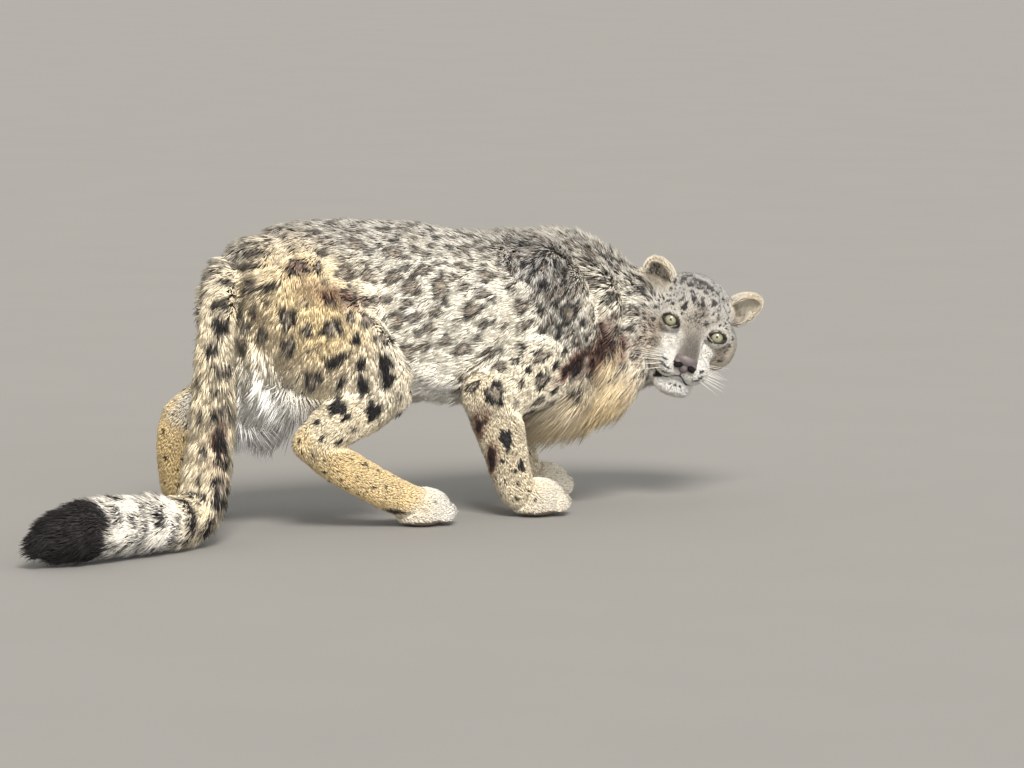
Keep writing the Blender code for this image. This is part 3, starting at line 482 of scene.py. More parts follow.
# %% Meshes, modifiers and Booleans
def mesh_from(name, shell):
    """The shell as a mesh, with its faces turned outwards; the shell is freed."""
    bmesh.ops.recalc_face_normals(shell, faces=shell.faces)
    mesh = bpy.data.meshes.new(name)
    shell.to_mesh(mesh)
    shell.free()
    return mesh


def object_from(name, mesh):
    """An object in the scene."""
    thing = bpy.data.objects.new(name, mesh)
    bpy.context.scene.collection.objects.link(thing)
    return thing


def applied(thing, name):
    """The object's mesh with its modifiers in it; the object is removed."""
    graph = bpy.context.evaluated_depsgraph_get()
    mesh = bpy.data.meshes.new_from_object(thing.evaluated_get(graph))
    mesh.name = name
    bpy.data.objects.remove(thing)
    return mesh


def melted(shell, voxel, smoothing):
    """One closed skin round all the forms in the shell."""
    thing = object_from("forms", mesh_from("forms", shell))
    remesh = thing.modifiers.new("Melt", "REMESH")
    remesh.mode = "VOXEL"
    remesh.voxel_size = voxel
    smooth = thing.modifiers.new("Smooth", "SMOOTH")
    smooth.factor = 0.5
    smooth.iterations = smoothing
    return applied(thing, "skin")


def combined(mesh, other, operation):
    """The mesh joined with, or cut by, the other one."""
    thing, tool = object_from("body", mesh), object_from("tool", other)
    change = thing.modifiers.new("Cut", "BOOLEAN")
    change.operation = operation
    change.object = tool
    change.solver = "MANIFOLD"
    result = applied(thing, "skin")
    bpy.data.objects.remove(tool)
    return result


body_forms = bmesh.new()
add_trunk(body_forms)
print("points in the trunk's forms:", len(body_forms.verts))

# %% [markdown]
# The body's tubes melt into one skin at a coarse voxel. The feet melt at a finer one, or their toes would
# run together. Smoothing takes away the small steps that voxels leave.

# %% Melt trunk, legs and feet
BODY_VOXEL, BODY_SMOOTHING = 3.8 * MM, 9
FOOT_VOXEL, FOOT_SMOOTHING = 2.3 * MM, 3
foot_forms = bmesh.new()
for leg in LEGS.values():
    add_leg(body_forms, leg)
    add_paw(foot_forms, *leg["paw"])
body_skin = melted(body_forms, BODY_VOXEL, BODY_SMOOTHING)
body_skin = combined(body_skin, melted(foot_forms, FOOT_VOXEL, FOOT_SMOOTHING), "UNION")
print("faces in the body's skin:", len(body_skin.polygons))

# %% [markdown]
# An ear is a round leaf with a deep cup. It is cut as a ball out of a larger ball before it joins the
# head.

# %% Melt head and ears, and join them to the body
HEAD_VOXEL, HEAD_SMOOTHING = 2.0 * MM, 3
EAR = (0.016, 0.030, 0.041)
CUP = (0.0155, 0.0240, 0.0336)
CUP_PLACE = (0.012, 0, 0.004)


def ear_mesh(sign):
    """A short round ear with a deep cup in front."""
    set_on = ear_place(sign)
    turn = set_on.to_3x3().to_4x4()
    shell, cup = bmesh.new(), bmesh.new()
    ball(shell, set_on.translation, EAR, turn, 4)
    ball(cup, set_on @ Vector(CUP_PLACE), CUP, turn, 4)
    return combined(mesh_from("ear", shell), mesh_from("cup", cup), "DIFFERENCE")


head_forms = bmesh.new()
add_head(head_forms)
loft(head_forms, NECK[2:], sides=32)
for sign in SIDES.values():
    head_forms.from_mesh(ear_mesh(sign))
head_skin = melted(head_forms, HEAD_VOXEL, HEAD_SMOOTHING)
outline = combined(body_skin, head_skin, "UNION")
print("faces in the outline:", len(outline.polygons))

# %% [markdown]
# ## Combing the coat
# Hair lies in streams: from the nose over the crown, back along the trunk, down the legs and along the
# tail. Each part of the body has a guide line that tells which way the hair runs there, how long it is
# and how deep the coat stands on the skin. Every point of the skin mixes the guides that are near it, so
# that no border shows.

# %% The coat table
# For each part: depth of the skin under the outline, reach of the tips beyond it, length and width of a tuft,
# all in mm, and tufts for each square cm
COAT = {
    "trunk": (13, 1.0, 34, 2.6, 17.5),
    "neck": (14, 2.0, 38, 2.6, 20),
    "tail": (12, 11, 50, 2.9, 20),
    "thigh": (11, 1.0, 32, 2.5, 17),
    "shank": (8, 1.0, 20, 2.0, 20),
    "foot": (6, 0.5, 12, 1.55, 25),
    "shoulder": (11, 1.0, 30, 2.4, 18),
    "arm": (9, 1.0, 24, 2.2, 18),
    "forearm": (7, 0.5, 14, 1.7, 22),
    "paw": (4.0, 0.6, 9, 1.1, 34),
    "head": (3.6, 0.4, 9, 1.18, 49),
    "ear": (1.2, 2.2, 9.5, 1.0, 48),
}
# Hair that doesn't follow its limb's own line
COMBED = {"shoulder": (-0.55, 0, -0.84), "thigh": (-0.32, 0, -0.95)}
print("parts in the coat table:", len(COAT))

# %% [markdown]
# ### Guide lines
# A guide line is a row of samples along the middle of a limb. Each sample keeps the way along the limb,
# how far the limb reaches from it and two directions across it. The stations of the forms give these
# lines for nothing, so the coat is combed by them and not by hand.

# %% Guide lines
def ramp(value, start, end):
    """0 at start and 1 at end, with soft corners."""
    t = np.clip((value - start) / (end - start), 0, 1)
    return t * t * (3 - 2 * t)


def unit(vectors):
    return vectors / np.maximum(np.linalg.norm(vectors, axis=-1, keepdims=True), 1e-9)


def in_axes(points, place):
    """Points in the axes of a placing matrix."""
    matrix = np.array(place.inverted())
    return points @ matrix[:3, :3].T + matrix[:3, 3]


def guide(name, stations, way=1, piece=""):
    """A guide line with its direction of hair, reach, run along the line and side vectors."""
    rows = np.array(smooth_path([(c, s[0], s[-1]) for c, *s in stations], 5))
    at = rows[:, :3]
    along = unit(np.gradient(at, axis=0))
    run = np.concatenate([[0], np.cumsum(np.linalg.norm(np.diff(at, axis=0), axis=1))])
    wide = unit(np.array([0, 1, 0]) - along * along[:, 1:2])
    return {
        "name": name, "piece": piece, "at": at, "flow": along * way, "reach": (rows[:, 3] + rows[:, 4]) / 2,
        "along": along, "run": run / run[-1], "wide": wide, "deep": np.cross(along, wide),
    }


# Way ahead of a paw's middle and the reach there
PAW_STATIONS = ((-0.020, 0.034), (0.010, 0.040), (0.040, 0.030))


def paw_guide(place, heading, piece):
    ahead = Vector((math.cos(math.radians(heading)), math.sin(math.radians(heading)), 0))
    centre = Vector(place)
    stations = [(centre + ahead * way, reach) for way, reach in PAW_STATIONS]
    return guide("paw", stations, 1, piece)


GUIDES = [
    guide("trunk", TRUNK_TUBE, -1, "trunk"),
    guide("neck", NECK[1:], -1, "neck"),
    guide("tail", TAIL_TUBE[1:], 1, "tail"),
]
TAIL_LINE = len(GUIDES) - 1
for piece, leg in LEGS.items():
    for name, stations in leg.items():
        GUIDES.append(paw_guide(*stations, piece) if name == "paw" else guide(name, stations, 1, piece))
EAR_REACH = 0.030
head_stations = [(HEAD @ Vector((-0.05, 0, 0)), 0.10), (HEAD @ Vector((0.06, 0, -0.02)), 0.085)]
GUIDES.append(guide("head", head_stations, -1, "head"))
for sign in SIDES.values():
    ear = ear_place(sign)
    stations = [(ear @ Vector((0, 0, -0.010)), EAR_REACH), (ear @ Vector((0, 0, 0.025)), EAR_REACH)]
    GUIDES.append(guide("ear", stations, 1, "head"))
print("guide lines:", len(GUIDES))

# %% [markdown]
# ### Mixing the guides
# A point takes most from the guide that it is nearest to, measured in that guide's own reach, and the
# shares fall off smoothly. A soft mix keeps the borders between parts from showing.

# %% Fields over the skin
def nearest_samples(points, line):
    """For each point the nearest sample of a guide line, and its distance as a share of the line's reach."""
    best = np.full(len(points), 1e9)
    which = np.zeros(len(points), int)
    for k, (at, reach) in enumerate(zip(line["at"], line["reach"])):
        share = np.linalg.norm(points - at, axis=1) / reach
        nearer = share < best
        best[nearer] = share[nearer]
        which[nearer] = k
    return best, which


def mixed_guides(points):
    """The weight of every guide at every point, and the nearest sample on each."""
    found = [nearest_samples(points, line) for line in GUIDES]
    shares = np.array([share for share, _ in found])
    weights = np.exp(-9 * (shares - shares.min(axis=0)))
    return weights / weights.sum(axis=0), np.array([which for _, which in found])


def in_head(points):
    """Points in the head's own axes."""
    return in_axes(points, HEAD)


def height_share(points):
    """0 on the trunk's underside and 1 on its back."""
    xs, tops, unders = (np.array([row[k] for row in TRUNK]) for k in (0, 1, 2))
    top = np.interp(points[:, 0], xs, tops)
    under = np.interp(points[:, 0], xs, unders)
    return (points[:, 2] - under) / (top - under)


def weight_of(weights, *names):
    return sum(weights[k] for k, line in enumerate(GUIDES) if line["name"] in names)


def head_flow(points):
    """Face hair runs away from the nose over the skull, and down under the chin."""
    away = unit(points - np.array(NOSE_TIP))
    down = np.array([0, 0, -1.0])
    local = in_head(points)
    chin = ramp(-local[:, 2], 0.05, 0.08)[:, None]
    return unit(away * (1 - chin * 0.5) + down * chin * 0.6)


def groin_share(points, normals):
    """1 where long white hair hangs between the thighs."""
    x, y, z = points.T
    middle = (1 - ramp(np.abs(x + 0.285), 0.03, 0.08)) * (1 - ramp(np.abs(y), 0.045, 0.10))
    return middle * ramp(-normals[:, 2], -0.2, 0.5) * (1 - ramp(z, 0.30, 0.36))


def flow_field(points, normals, weights, samples):
    """The way that the hair runs, in the plane of the skin."""
    flow = np.zeros_like(points)
    for k, line in enumerate(GUIDES):
        way = head_flow(points) if line["name"] == "head" else line["flow"][samples[k]]
        way = np.array(COMBED.get(line["name"], way))
        flow += way * weights[k][:, None]
    sag = weight_of(weights, "trunk", "neck", "thigh", "shoulder", "arm")
    flow[:, 2] -= sag * 0.42 * (1 - np.abs(normals[:, 2]) * 0.6)
    flow[:, 2] -= 2.0 * groin_share(points, normals)
    behind = ramp(-normals[:, 0], 0.25, 0.8) * (points[:, 2] > 0.2)
    flow[:, 2] -= 1.8 * weight_of(weights, "trunk", "tail") * behind
    flow -= normals * (flow * normals).sum(axis=1, keepdims=True)
    return unit(flow)


# %% [markdown]
# ### Painted shade and the grey bridge
# The cups of the ears and the gaps between the toes get painted shade, and the bridge of the nose is
# darker because its fur is grey. They are drawn from the same axes that placed those forms.

# %% Ear cups, toe gaps and nose bridge
def ear_cup(points):
    """1 deep in the cup of an ear."""
    total = np.zeros(len(points))
    for sign in SIDES.values():
        x, y, z = in_axes(points, ear_place(sign)).T
        share = np.hypot(y / 0.0235, (z - 0.004) / 0.0330)
        inside = (1 - ramp(share, 0.62, 1.0)) * ramp(x, -0.010, -0.004) * (np.abs(x) < 0.03)
        total = np.maximum(total, inside)
    return total


def toe_gap_shade(points):
    """Painted shade: soft dark lines in the gaps between the toes of every foot."""
    total = np.zeros(len(points))
    for leg in LEGS.values():
        place, heading = leg["paw"]
        set_down = Matrix.Translation(place) @ Matrix.Rotation(math.radians(heading), 4, "Z")
        x, y, z = in_axes(points, set_down).T
        near = (np.abs(x) < 0.09) & (np.abs(y) < 0.07) & (np.abs(z) < 0.04)
        for before, after in zip(TOES, TOES[1:]):
            fan = 1 + 3.0 * np.clip(x - 0.02, 0, 0.05)
            middle = (before[1] + after[1]) / 2 * PAW_WIDE * TOE_ROW * fan
            line = 1 - ramp(np.abs(y - middle), 0.0008, 0.0040)
            total = np.maximum(total, line * ramp(x, 0.012, 0.030) * near)
    return total * 0.45


def grey_bridge_and_painted_shade(points, local, head):
    """The grey bridge of the nose, its fur's own colour, and painted shade in the cups of the ears and the
    gaps between the toes.
    """
    x, y, z = local.T
    bridge = ramp(x, 0.050, 0.094) * (1 - ramp(np.abs(y), 0.006, 0.024))
    bridge *= ramp(z, -0.054, -0.040) * head * (0.52 + 0.22 * ramp(x, 0.078, 0.100))
    # Painted shade deep in the ear cups, stronger in the right ear than in the left
    cup = ear_cup(points) * np.where(y < 0, 0.40, 0.20)
    return np.maximum(np.maximum(bridge, cup), toe_gap_shade(points))


print("dark lines between toes:", len(LEGS) * (len(TOES) - 1))

# %% [markdown]
# ### Zones with a coat of their own
# Some places differ from their guide's row in the table: the hair hangs long at belly, throat and groin
# and behind the thighs, stands up on the nape, and is short and fine round eyes and nose. Each zone is a
# share from 0 to 1, and what it adds stands in one table, so that it is tuned like the coat's.

# %% Zones of the coat
# What each zone adds in mm: reach of the tips, length and width of a tuft
ADDED = {
    "belly": (20, 24, 0), "throat": (80, 86, 0.9), "groin": (66, 70, 1.2), "behind": (6, 18, 0),
    "nape": (17, 11, 0), "tail_root": (-10, -14, 0), "cheek": (1.5, 10, 0.4), "cup": (0, 7, 0),
}
# Depth and length in mm that fine hair comes down to, its width, the length on the muzzle, depth on the soles
FINE = {"near_eye": (2.6, 4.2), "near_nose": (1.2, 4.5)}
FINE_WIDTH, MUZZLE_LENGTH, SOLE_DEPTH = 1.2, 6.5, 0.6
BEARD_LENGTH, BEARD_REACH = 8, 3
NOSE_MIDDLE = np.array([0.100, 0, -0.036])


def head_zones(points, weights, local):
    """Zones of the head, in its own axes."""
    x, y, z = local.T
    head = weight_of(weights, "head")
    sockets = np.min([np.linalg.norm(points - np.array(eye), axis=1) for eye in EYES.values()], axis=0)
    near_nose = 1 - ramp(np.linalg.norm(local - NOSE_MIDDLE, axis=1), 0.018, 0.045)
    return {
        "cheek": head * ramp(-x, -0.035, 0.02) * ramp(np.abs(y), 0.045, 0.07),
        "cup": ear_cup(points),
        "near_eye": 1 - ramp(sockets, 0.024, 0.036),
        "near_nose": near_nose,
        "muzzle": head * ramp(x, 0.045, 0.07) * (1 - near_nose),
        "beard": head * ramp(-z, 0.074, 0.086) * ramp(x, 0.02, 0.05),
    }


def body_zones(points, normals, weights, samples, share):
    """Zones of trunk, neck, thighs, tail and soles."""
    trunk, neck, thigh = (weight_of(weights, name) for name in ("trunk", "neck", "thigh"))
    under = ramp(-normals[:, 2], 0.15, 0.8)
    tail_run = GUIDES[TAIL_LINE]["run"][samples[TAIL_LINE]]
    return {
        "belly": trunk * under * ramp(share, 0.35, 0.08),
        "throat": (neck + trunk * ramp(points[:, 0], 0.20, 0.30)) * under,
        "groin": groin_share(points, normals),
        "behind": thigh * ramp(-normals[:, 0], 0.2, 0.8),
        "nape": (neck + trunk * ramp(points[:, 0], 0.10, 0.22)) * ramp(normals[:, 2], 0.45, 0.9),
        "tail_root": weights[TAIL_LINE] * (1 - ramp(tail_run, 0.03, 0.30)),
        "sole": ramp(-normals[:, 2], 0.4, 0.8) * (1 - ramp(points[:, 2], 0.010, 0.020)),
    }


print("zones that add to the coat:", ", ".join(ADDED))

# %% [markdown]
# ### All fields together
# Every later step asks the same questions of a point: how deep, long, wide and dense the coat is there
# and which way it runs. They are answered once, for all vertices of the outline at a time.

# %% Fields of the coat
def table_field(weights, column):
    """One column of the coat table, mixed by the guides' weights."""
    return sum(weights[k] * COAT[line["name"]][column] for k, line in enumerate(GUIDES))


def fields_at(points, normals):
    """Everything that the coat needs to know at each point of the outline."""
    weights, samples = mixed_guides(points)
    share, local = height_share(points), in_head(points)
    zones = body_zones(points, normals, weights, samples, share) | head_zones(points, weights, local)
    depth, proud, length, width, density = (table_field(weights, column) for column in range(5))
    for zone, (reach, longer, wider) in ADDED.items():
        proud += reach * zones[zone]
        length += longer * zones[zone]
        width += wider * zones[zone]
    for zone, (fine_depth, fine_length) in FINE.items():
        depth += (fine_depth - depth) * zones[zone]
        length += (fine_length - length) * zones[zone]
    width += (FINE_WIDTH - width) * np.maximum(zones["near_nose"], zones["near_eye"])
    length += (MUZZLE_LENGTH - length) * zones["muzzle"]
    proud += BEARD_REACH * zones["beard"]
    length += BEARD_LENGTH * zones["beard"]
    depth += (SOLE_DEPTH - depth) * zones["sole"]
    density *= (1 - zones["sole"]) * (1 + 0.6 * zones["groin"])
    return zones | {
        "weights": weights, "samples": samples, "share": share, "local": local,
        "depth": depth * MM, "proud": proud * MM, "length": length * MM, "width": width * MM,
        "density": density, "flow": flow_field(points, normals, weights, samples),
        "shade": grey_bridge_and_painted_shade(points, local, weight_of(weights, "head")),
    }


def corners_of(mesh):
    """Vertex places and normals as arrays."""
    places = np.empty(len(mesh.vertices) * 3)
    mesh.vertices.foreach_get("co", places)
    normals = np.empty(len(mesh.vertices) * 3)
    mesh.vertices.foreach_get("normal", normals)
    return places.reshape(-1, 3), normals.reshape(-1, 3)


outer, outer_normals = corners_of(outline)
fields = fields_at(outer, outer_normals)
thinnest, deepest = (round(float(pick(fields["depth"]) / MM), 1) for pick in (np.min, np.max))
print("coat depth from", thinnest, "to", deepest, "mm")

# %% [markdown]
# ## Ground colours
# Under the markings the coat has soft zones: smoke grey on the back and neck, cream on flanks and
# haunches, white on belly, chin and toes, and ochre on the lower legs. Each zone is a weight between 0
# and 1, and the material mixes its colours by these weights.

# %% Zones of ground colour
def ripple(points, size, seed, waves=6):
    """Smooth noise of about one unit, from a few sine waves that run in seeded directions."""
    rng = np.random.default_rng(seed)
    total = np.zeros(len(points))
    for _ in range(waves):
        way = unit(rng.normal(size=3))
        total += np.sin(points @ way * 2 * math.pi / (size * rng.uniform(0.7, 1.6)) + rng.uniform(0, 6.28))
    return total / math.sqrt(waves)


def face_ground(found):
    """What the head adds: a grey bridge, tan sides, and a white muzzle and chin."""
    x, y, z = found["local"].T
    face = weight_of(found["weights"], "head")
    bridge = np.clip(found["shade"] * 2.4, 0, 1) * (x > 0.05)
    outside = face * ramp(np.abs(y), 0.036, 0.054) * ramp(-z, -0.020, 0.005)
    muzzle = ramp(x, 0.045, 0.06) * ramp(-z, 0.022, 0.034) * (1 - bridge)
    under_eye = (1 - ramp(np.abs(z + 0.012), 0.010, 0.020)) * ramp(x, 0.03, 0.05)
    chin = ramp(-z, 0.055, 0.068)
    pale = np.clip(chin + muzzle + under_eye * 0.6 * (1 - bridge), 0, 0.95)
    grey = face * (0.74 + 0.26 * ramp(z, 0.02, 0.07)) + bridge * 0.65 + outside * 0.35
    return grey, bridge * 0.16 + outside * 0.30, face * (0.05 + pale) * (1 - 0.75 * outside)


# How grey and how ochre each part is all over
GROUND = {
    "neck": (0.58, 0), "shoulder": (0.75, 0), "ear": (0.60, 0.22), "tail": (0.2, 0.38), "foot": (0, 0.95),
    "shank": (0, 0.35), "forearm": (0, 0.35), "thigh": (0, 0.22), "arm": (0, 0.15),
}


def ground_at(points, normals, found):
    """Grey, ochre and white weights."""
    weights = found["weights"]
    x, y, z = points.T
    trunk, paw = weight_of(weights, "trunk", "shoulder", "thigh"), weight_of(weights, "paw")
    patchy = ripple(points, 0.07, 3)
    back = ramp(found["share"] + patchy * 0.05, 0.62, 1.0) * trunk
    flank = trunk * (1 - back)
    grey, ochre, white = face_ground(found)
    for name, (greyer, warmer) in GROUND.items():
        grey += weight_of(weights, name) * greyer
        ochre += weight_of(weights, name) * warmer
    grey += back * 0.75 + weight_of(weights, "neck") * 0.35 * ramp(normals[:, 2], -0.2, 0.8)
    haunch_gap = np.hypot((x + 0.255) / 0.16, (z - 0.375) / 0.13)
    warm_haunch = weight_of(weights, "trunk", "thigh") * (1 - ramp(haunch_gap + patchy * 0.06, 0.3, 1.15))
    ochre += warm_haunch * 0.55 + found["throat"] * 0.90 + flank * 0.06 + paw * np.where(x > 0.08, 0.30, 0.12)
    inner_side = ramp(-normals[:, 1] * np.sign(y), 0.2, 0.7)
    white += found["belly"] * 0.3 + found["behind"] * 0.35 + found["groin"]
    white += paw * np.where(x > 0.08, 0.35, 0.60) + weight_of(weights, "thigh", "shank") * inner_side * 0.8
    forward = ramp(x, -0.24, -0.04) * (1 - 0.75 * ramp(x, 0.08, 0.18))
    white += flank * (0.25 + ramp(patchy, 0.2, 1.2) * 0.45) * forward
    grey *= 1 - np.clip(white * 0.8, 0, 1)
    return np.clip(np.stack([grey, ochre + patchy * 0.04, white], axis=1), 0, 1)


ground = ground_at(outer, outer_normals, fields)
print("mean ground weights:", ground.mean(axis=0).round(2))

# %% [markdown]
# ## Markings
# A snow leopard's spots are as personal as a fingerprint. The marks that stand out in the photo are
# placed one by one: a line from the camera through the mark's pixel meets the outline where the mark
# belongs. The rest, and the side that the photo doesn't show, follow the style of each part from a seeded
# draw.

# %% Marks placed from the photo
# x and y of the middle in the photo, half length and half width in pixels, tilt in degrees, kind, darkness
SPOT, RING, SMUDGE = 0, 1, 2
BODY_MARKS = [
    (249, 244, 11, 4, 10, SPOT, 0.9), (251, 254, 15, 5, 5, SPOT, 0.9), (243, 267, 13, 5, 5, SPOT, 1.0),
    (229, 283, 11, 6, 10, SPOT, 1.0), (292, 229, 9, 4, 5, SMUDGE, 0.8), (292, 248, 8, 4, 0, SMUDGE, 0.6),
    (297, 267, 11, 9, 0, RING, 0.7), (276, 264, 5, 4, 0, SMUDGE, 0.5), (268, 289, 10, 6, 15, SPOT, 0.9),
    (266, 304, 5, 4, 0, SPOT, 0.8), (287, 320, 8, 11, 0, RING, 0.95), (325, 282, 6, 4, 0, SMUDGE, 0.6),
    (332, 303, 8, 4, 0, SPOT, 0.6), (305, 303, 9, 5, 0, SMUDGE, 0.5), (332, 329, 11, 9, 20, RING, 0.75),
    (357, 340, 5, 8, -20, SPOT, 0.85), (368, 321, 9, 7, 0, RING, 0.7), (398, 321, 9, 9, 0, RING, 0.8),
    (382, 340, 9, 5, 0, RING, 0.75), (336, 362, 14, 6, 28, SPOT, 1.0), (311, 352, 12, 3, 15, SMUDGE, 0.6),
    (386, 364, 9, 10, 15, SPOT, 1.0), (388, 380, 8, 9, 10, SPOT, 1.0), (363, 387, 6, 11, 10, SPOT, 1.0),
    (337, 407, 9, 9, 0, SPOT, 1.0), (374, 412, 9, 10, 0, SPOT, 1.0), (346, 418, 6, 3, 25, SPOT, 0.9),
    (400, 397, 5, 6, 0, SMUDGE, 0.6), (408, 352, 9, 9, 0, RING, 0.6), (409, 367, 5, 8, 0, SMUDGE, 0.6),
    (418, 334, 5, 6, 0, SPOT, 0.8), (412, 287, 11, 9, 20, RING, 0.65), (441, 288, 10, 15, 5, RING, 0.8),
    (369, 276, 10, 7, 0, RING, 0.65), (381, 300, 14, 5, 5, RING, 0.7), (357, 243, 11, 7, 0, RING, 0.7),
    (394, 252, 11, 7, 0, RING, 0.7), (478, 338, 6, 5, 0, SPOT, 0.8), (498, 352, 5, 4, 0, SPOT, 0.95),
    (521, 347, 5, 6, 0, SPOT, 0.95), (499, 366, 8, 5, 0, RING, 0.7), (516, 360, 6, 4, 30, SPOT, 0.8),
    (541, 357, 9, 6, 15, RING, 0.75), (511, 289, 7, 4, -40, SPOT, 0.9), (493, 300, 6, 4, 0, SPOT, 0.9),
    (522, 307, 9, 7, 0, RING, 0.9), (541, 310, 6, 5, 0, SPOT, 0.7), (561, 291, 7, 6, 0, RING, 0.8),
    (569, 314, 9, 11, 0, RING, 0.85), (542, 331, 5, 4, 0, SPOT, 0.8), (529, 281, 5, 3, 0, SPOT, 0.8),
    (505, 326, 6, 7, 0, SMUDGE, 0.6), (589, 255, 10, 8, 0, RING, 1.0), (602, 250, 4, 6, 0, SPOT, 1.0),
    (612, 271, 10, 7, -20, SPOT, 1.0), (604, 281, 4, 4, 0, SPOT, 0.9), (629, 294, 5, 3, 0, SPOT, 0.9),
    (593, 312, 6, 16, 0, SMUDGE, 0.8), (485, 276, 8, 7, 0, RING, 0.7), (456, 324, 6, 9, 0, SMUDGE, 0.5),
    (471, 387, 9, 6, 0, RING, 0.7), (495, 394, 10, 11, 0, RING, 0.8), (522, 385, 3, 5, 0, SPOT, 0.9),
    (516, 406, 4, 7, 0, SMUDGE, 0.6), (507, 440, 6, 11, 14, SPOT, 1.0),
    (503, 462, 4, 2.5, -20, SPOT, 0.9), (515, 472, 3, 2.5, 0, SPOT, 0.9),
    (523, 467, 4, 7, 20, SPOT, 0.95), (519, 484, 3, 1.5, 0, SPOT, 0.8),
    (536, 500, 1.6, 1.4, 0, SPOT, 0.8), (355, 430, 4, 3, -30, SPOT, 0.95),
    (379, 427, 3, 3, 0, SMUDGE, 0.7), (355, 447, 4, 2.5, 0, SPOT, 0.9), (363, 446, 3, 2.2, 0, SPOT, 0.9),
    (367, 464, 3, 2.6, 0, SPOT, 0.9), (379, 470, 2.2, 2, 0, SPOT, 0.9), (387, 487, 2, 2, 0, SPOT, 0.8),
    (374, 488, 3, 1.6, 0, SPOT, 0.7), (394, 513, 14, 6, 0, SMUDGE, 1.0), (436, 502, 2, 2, 0, SMUDGE, 0.7),
    (221, 306, 10, 8, 0, SPOT, 0.8), (221, 328, 11, 12, 0, SMUDGE, 1.3), (242, 348, 6, 8, 0, SPOT, 0.75),
    (211, 352, 8, 9, 0, SMUDGE, 1.2), (222, 373, 12, 6, 0, RING, 0.85), (219, 395, 12, 4, 0, SPOT, 1.0),
    (223, 417, 14, 7, 0, RING, 1.0), (219, 445, 8, 16, 0, SMUDGE, 1.3), (222, 464, 11, 6, 0, SPOT, 1.0),
    (220, 491, 13, 11, 0, RING, 1.0), (212, 517, 12, 5, 0, RING, 0.85), (211, 533, 14, 6, 0, SPOT, 1.0),
    (199, 484, 3, 7, 0, SPOT, 0.8), (234, 444, 5, 10, 0, SMUDGE, 0.8), (201, 420, 5, 8, 0, SMUDGE, 1.0),
    (203, 455, 5, 7, 0, SMUDGE, 1.0), (199, 385, 5, 8, 0, SMUDGE, 0.8), (230, 544, 6, 5, 0, SPOT, 0.9),
]
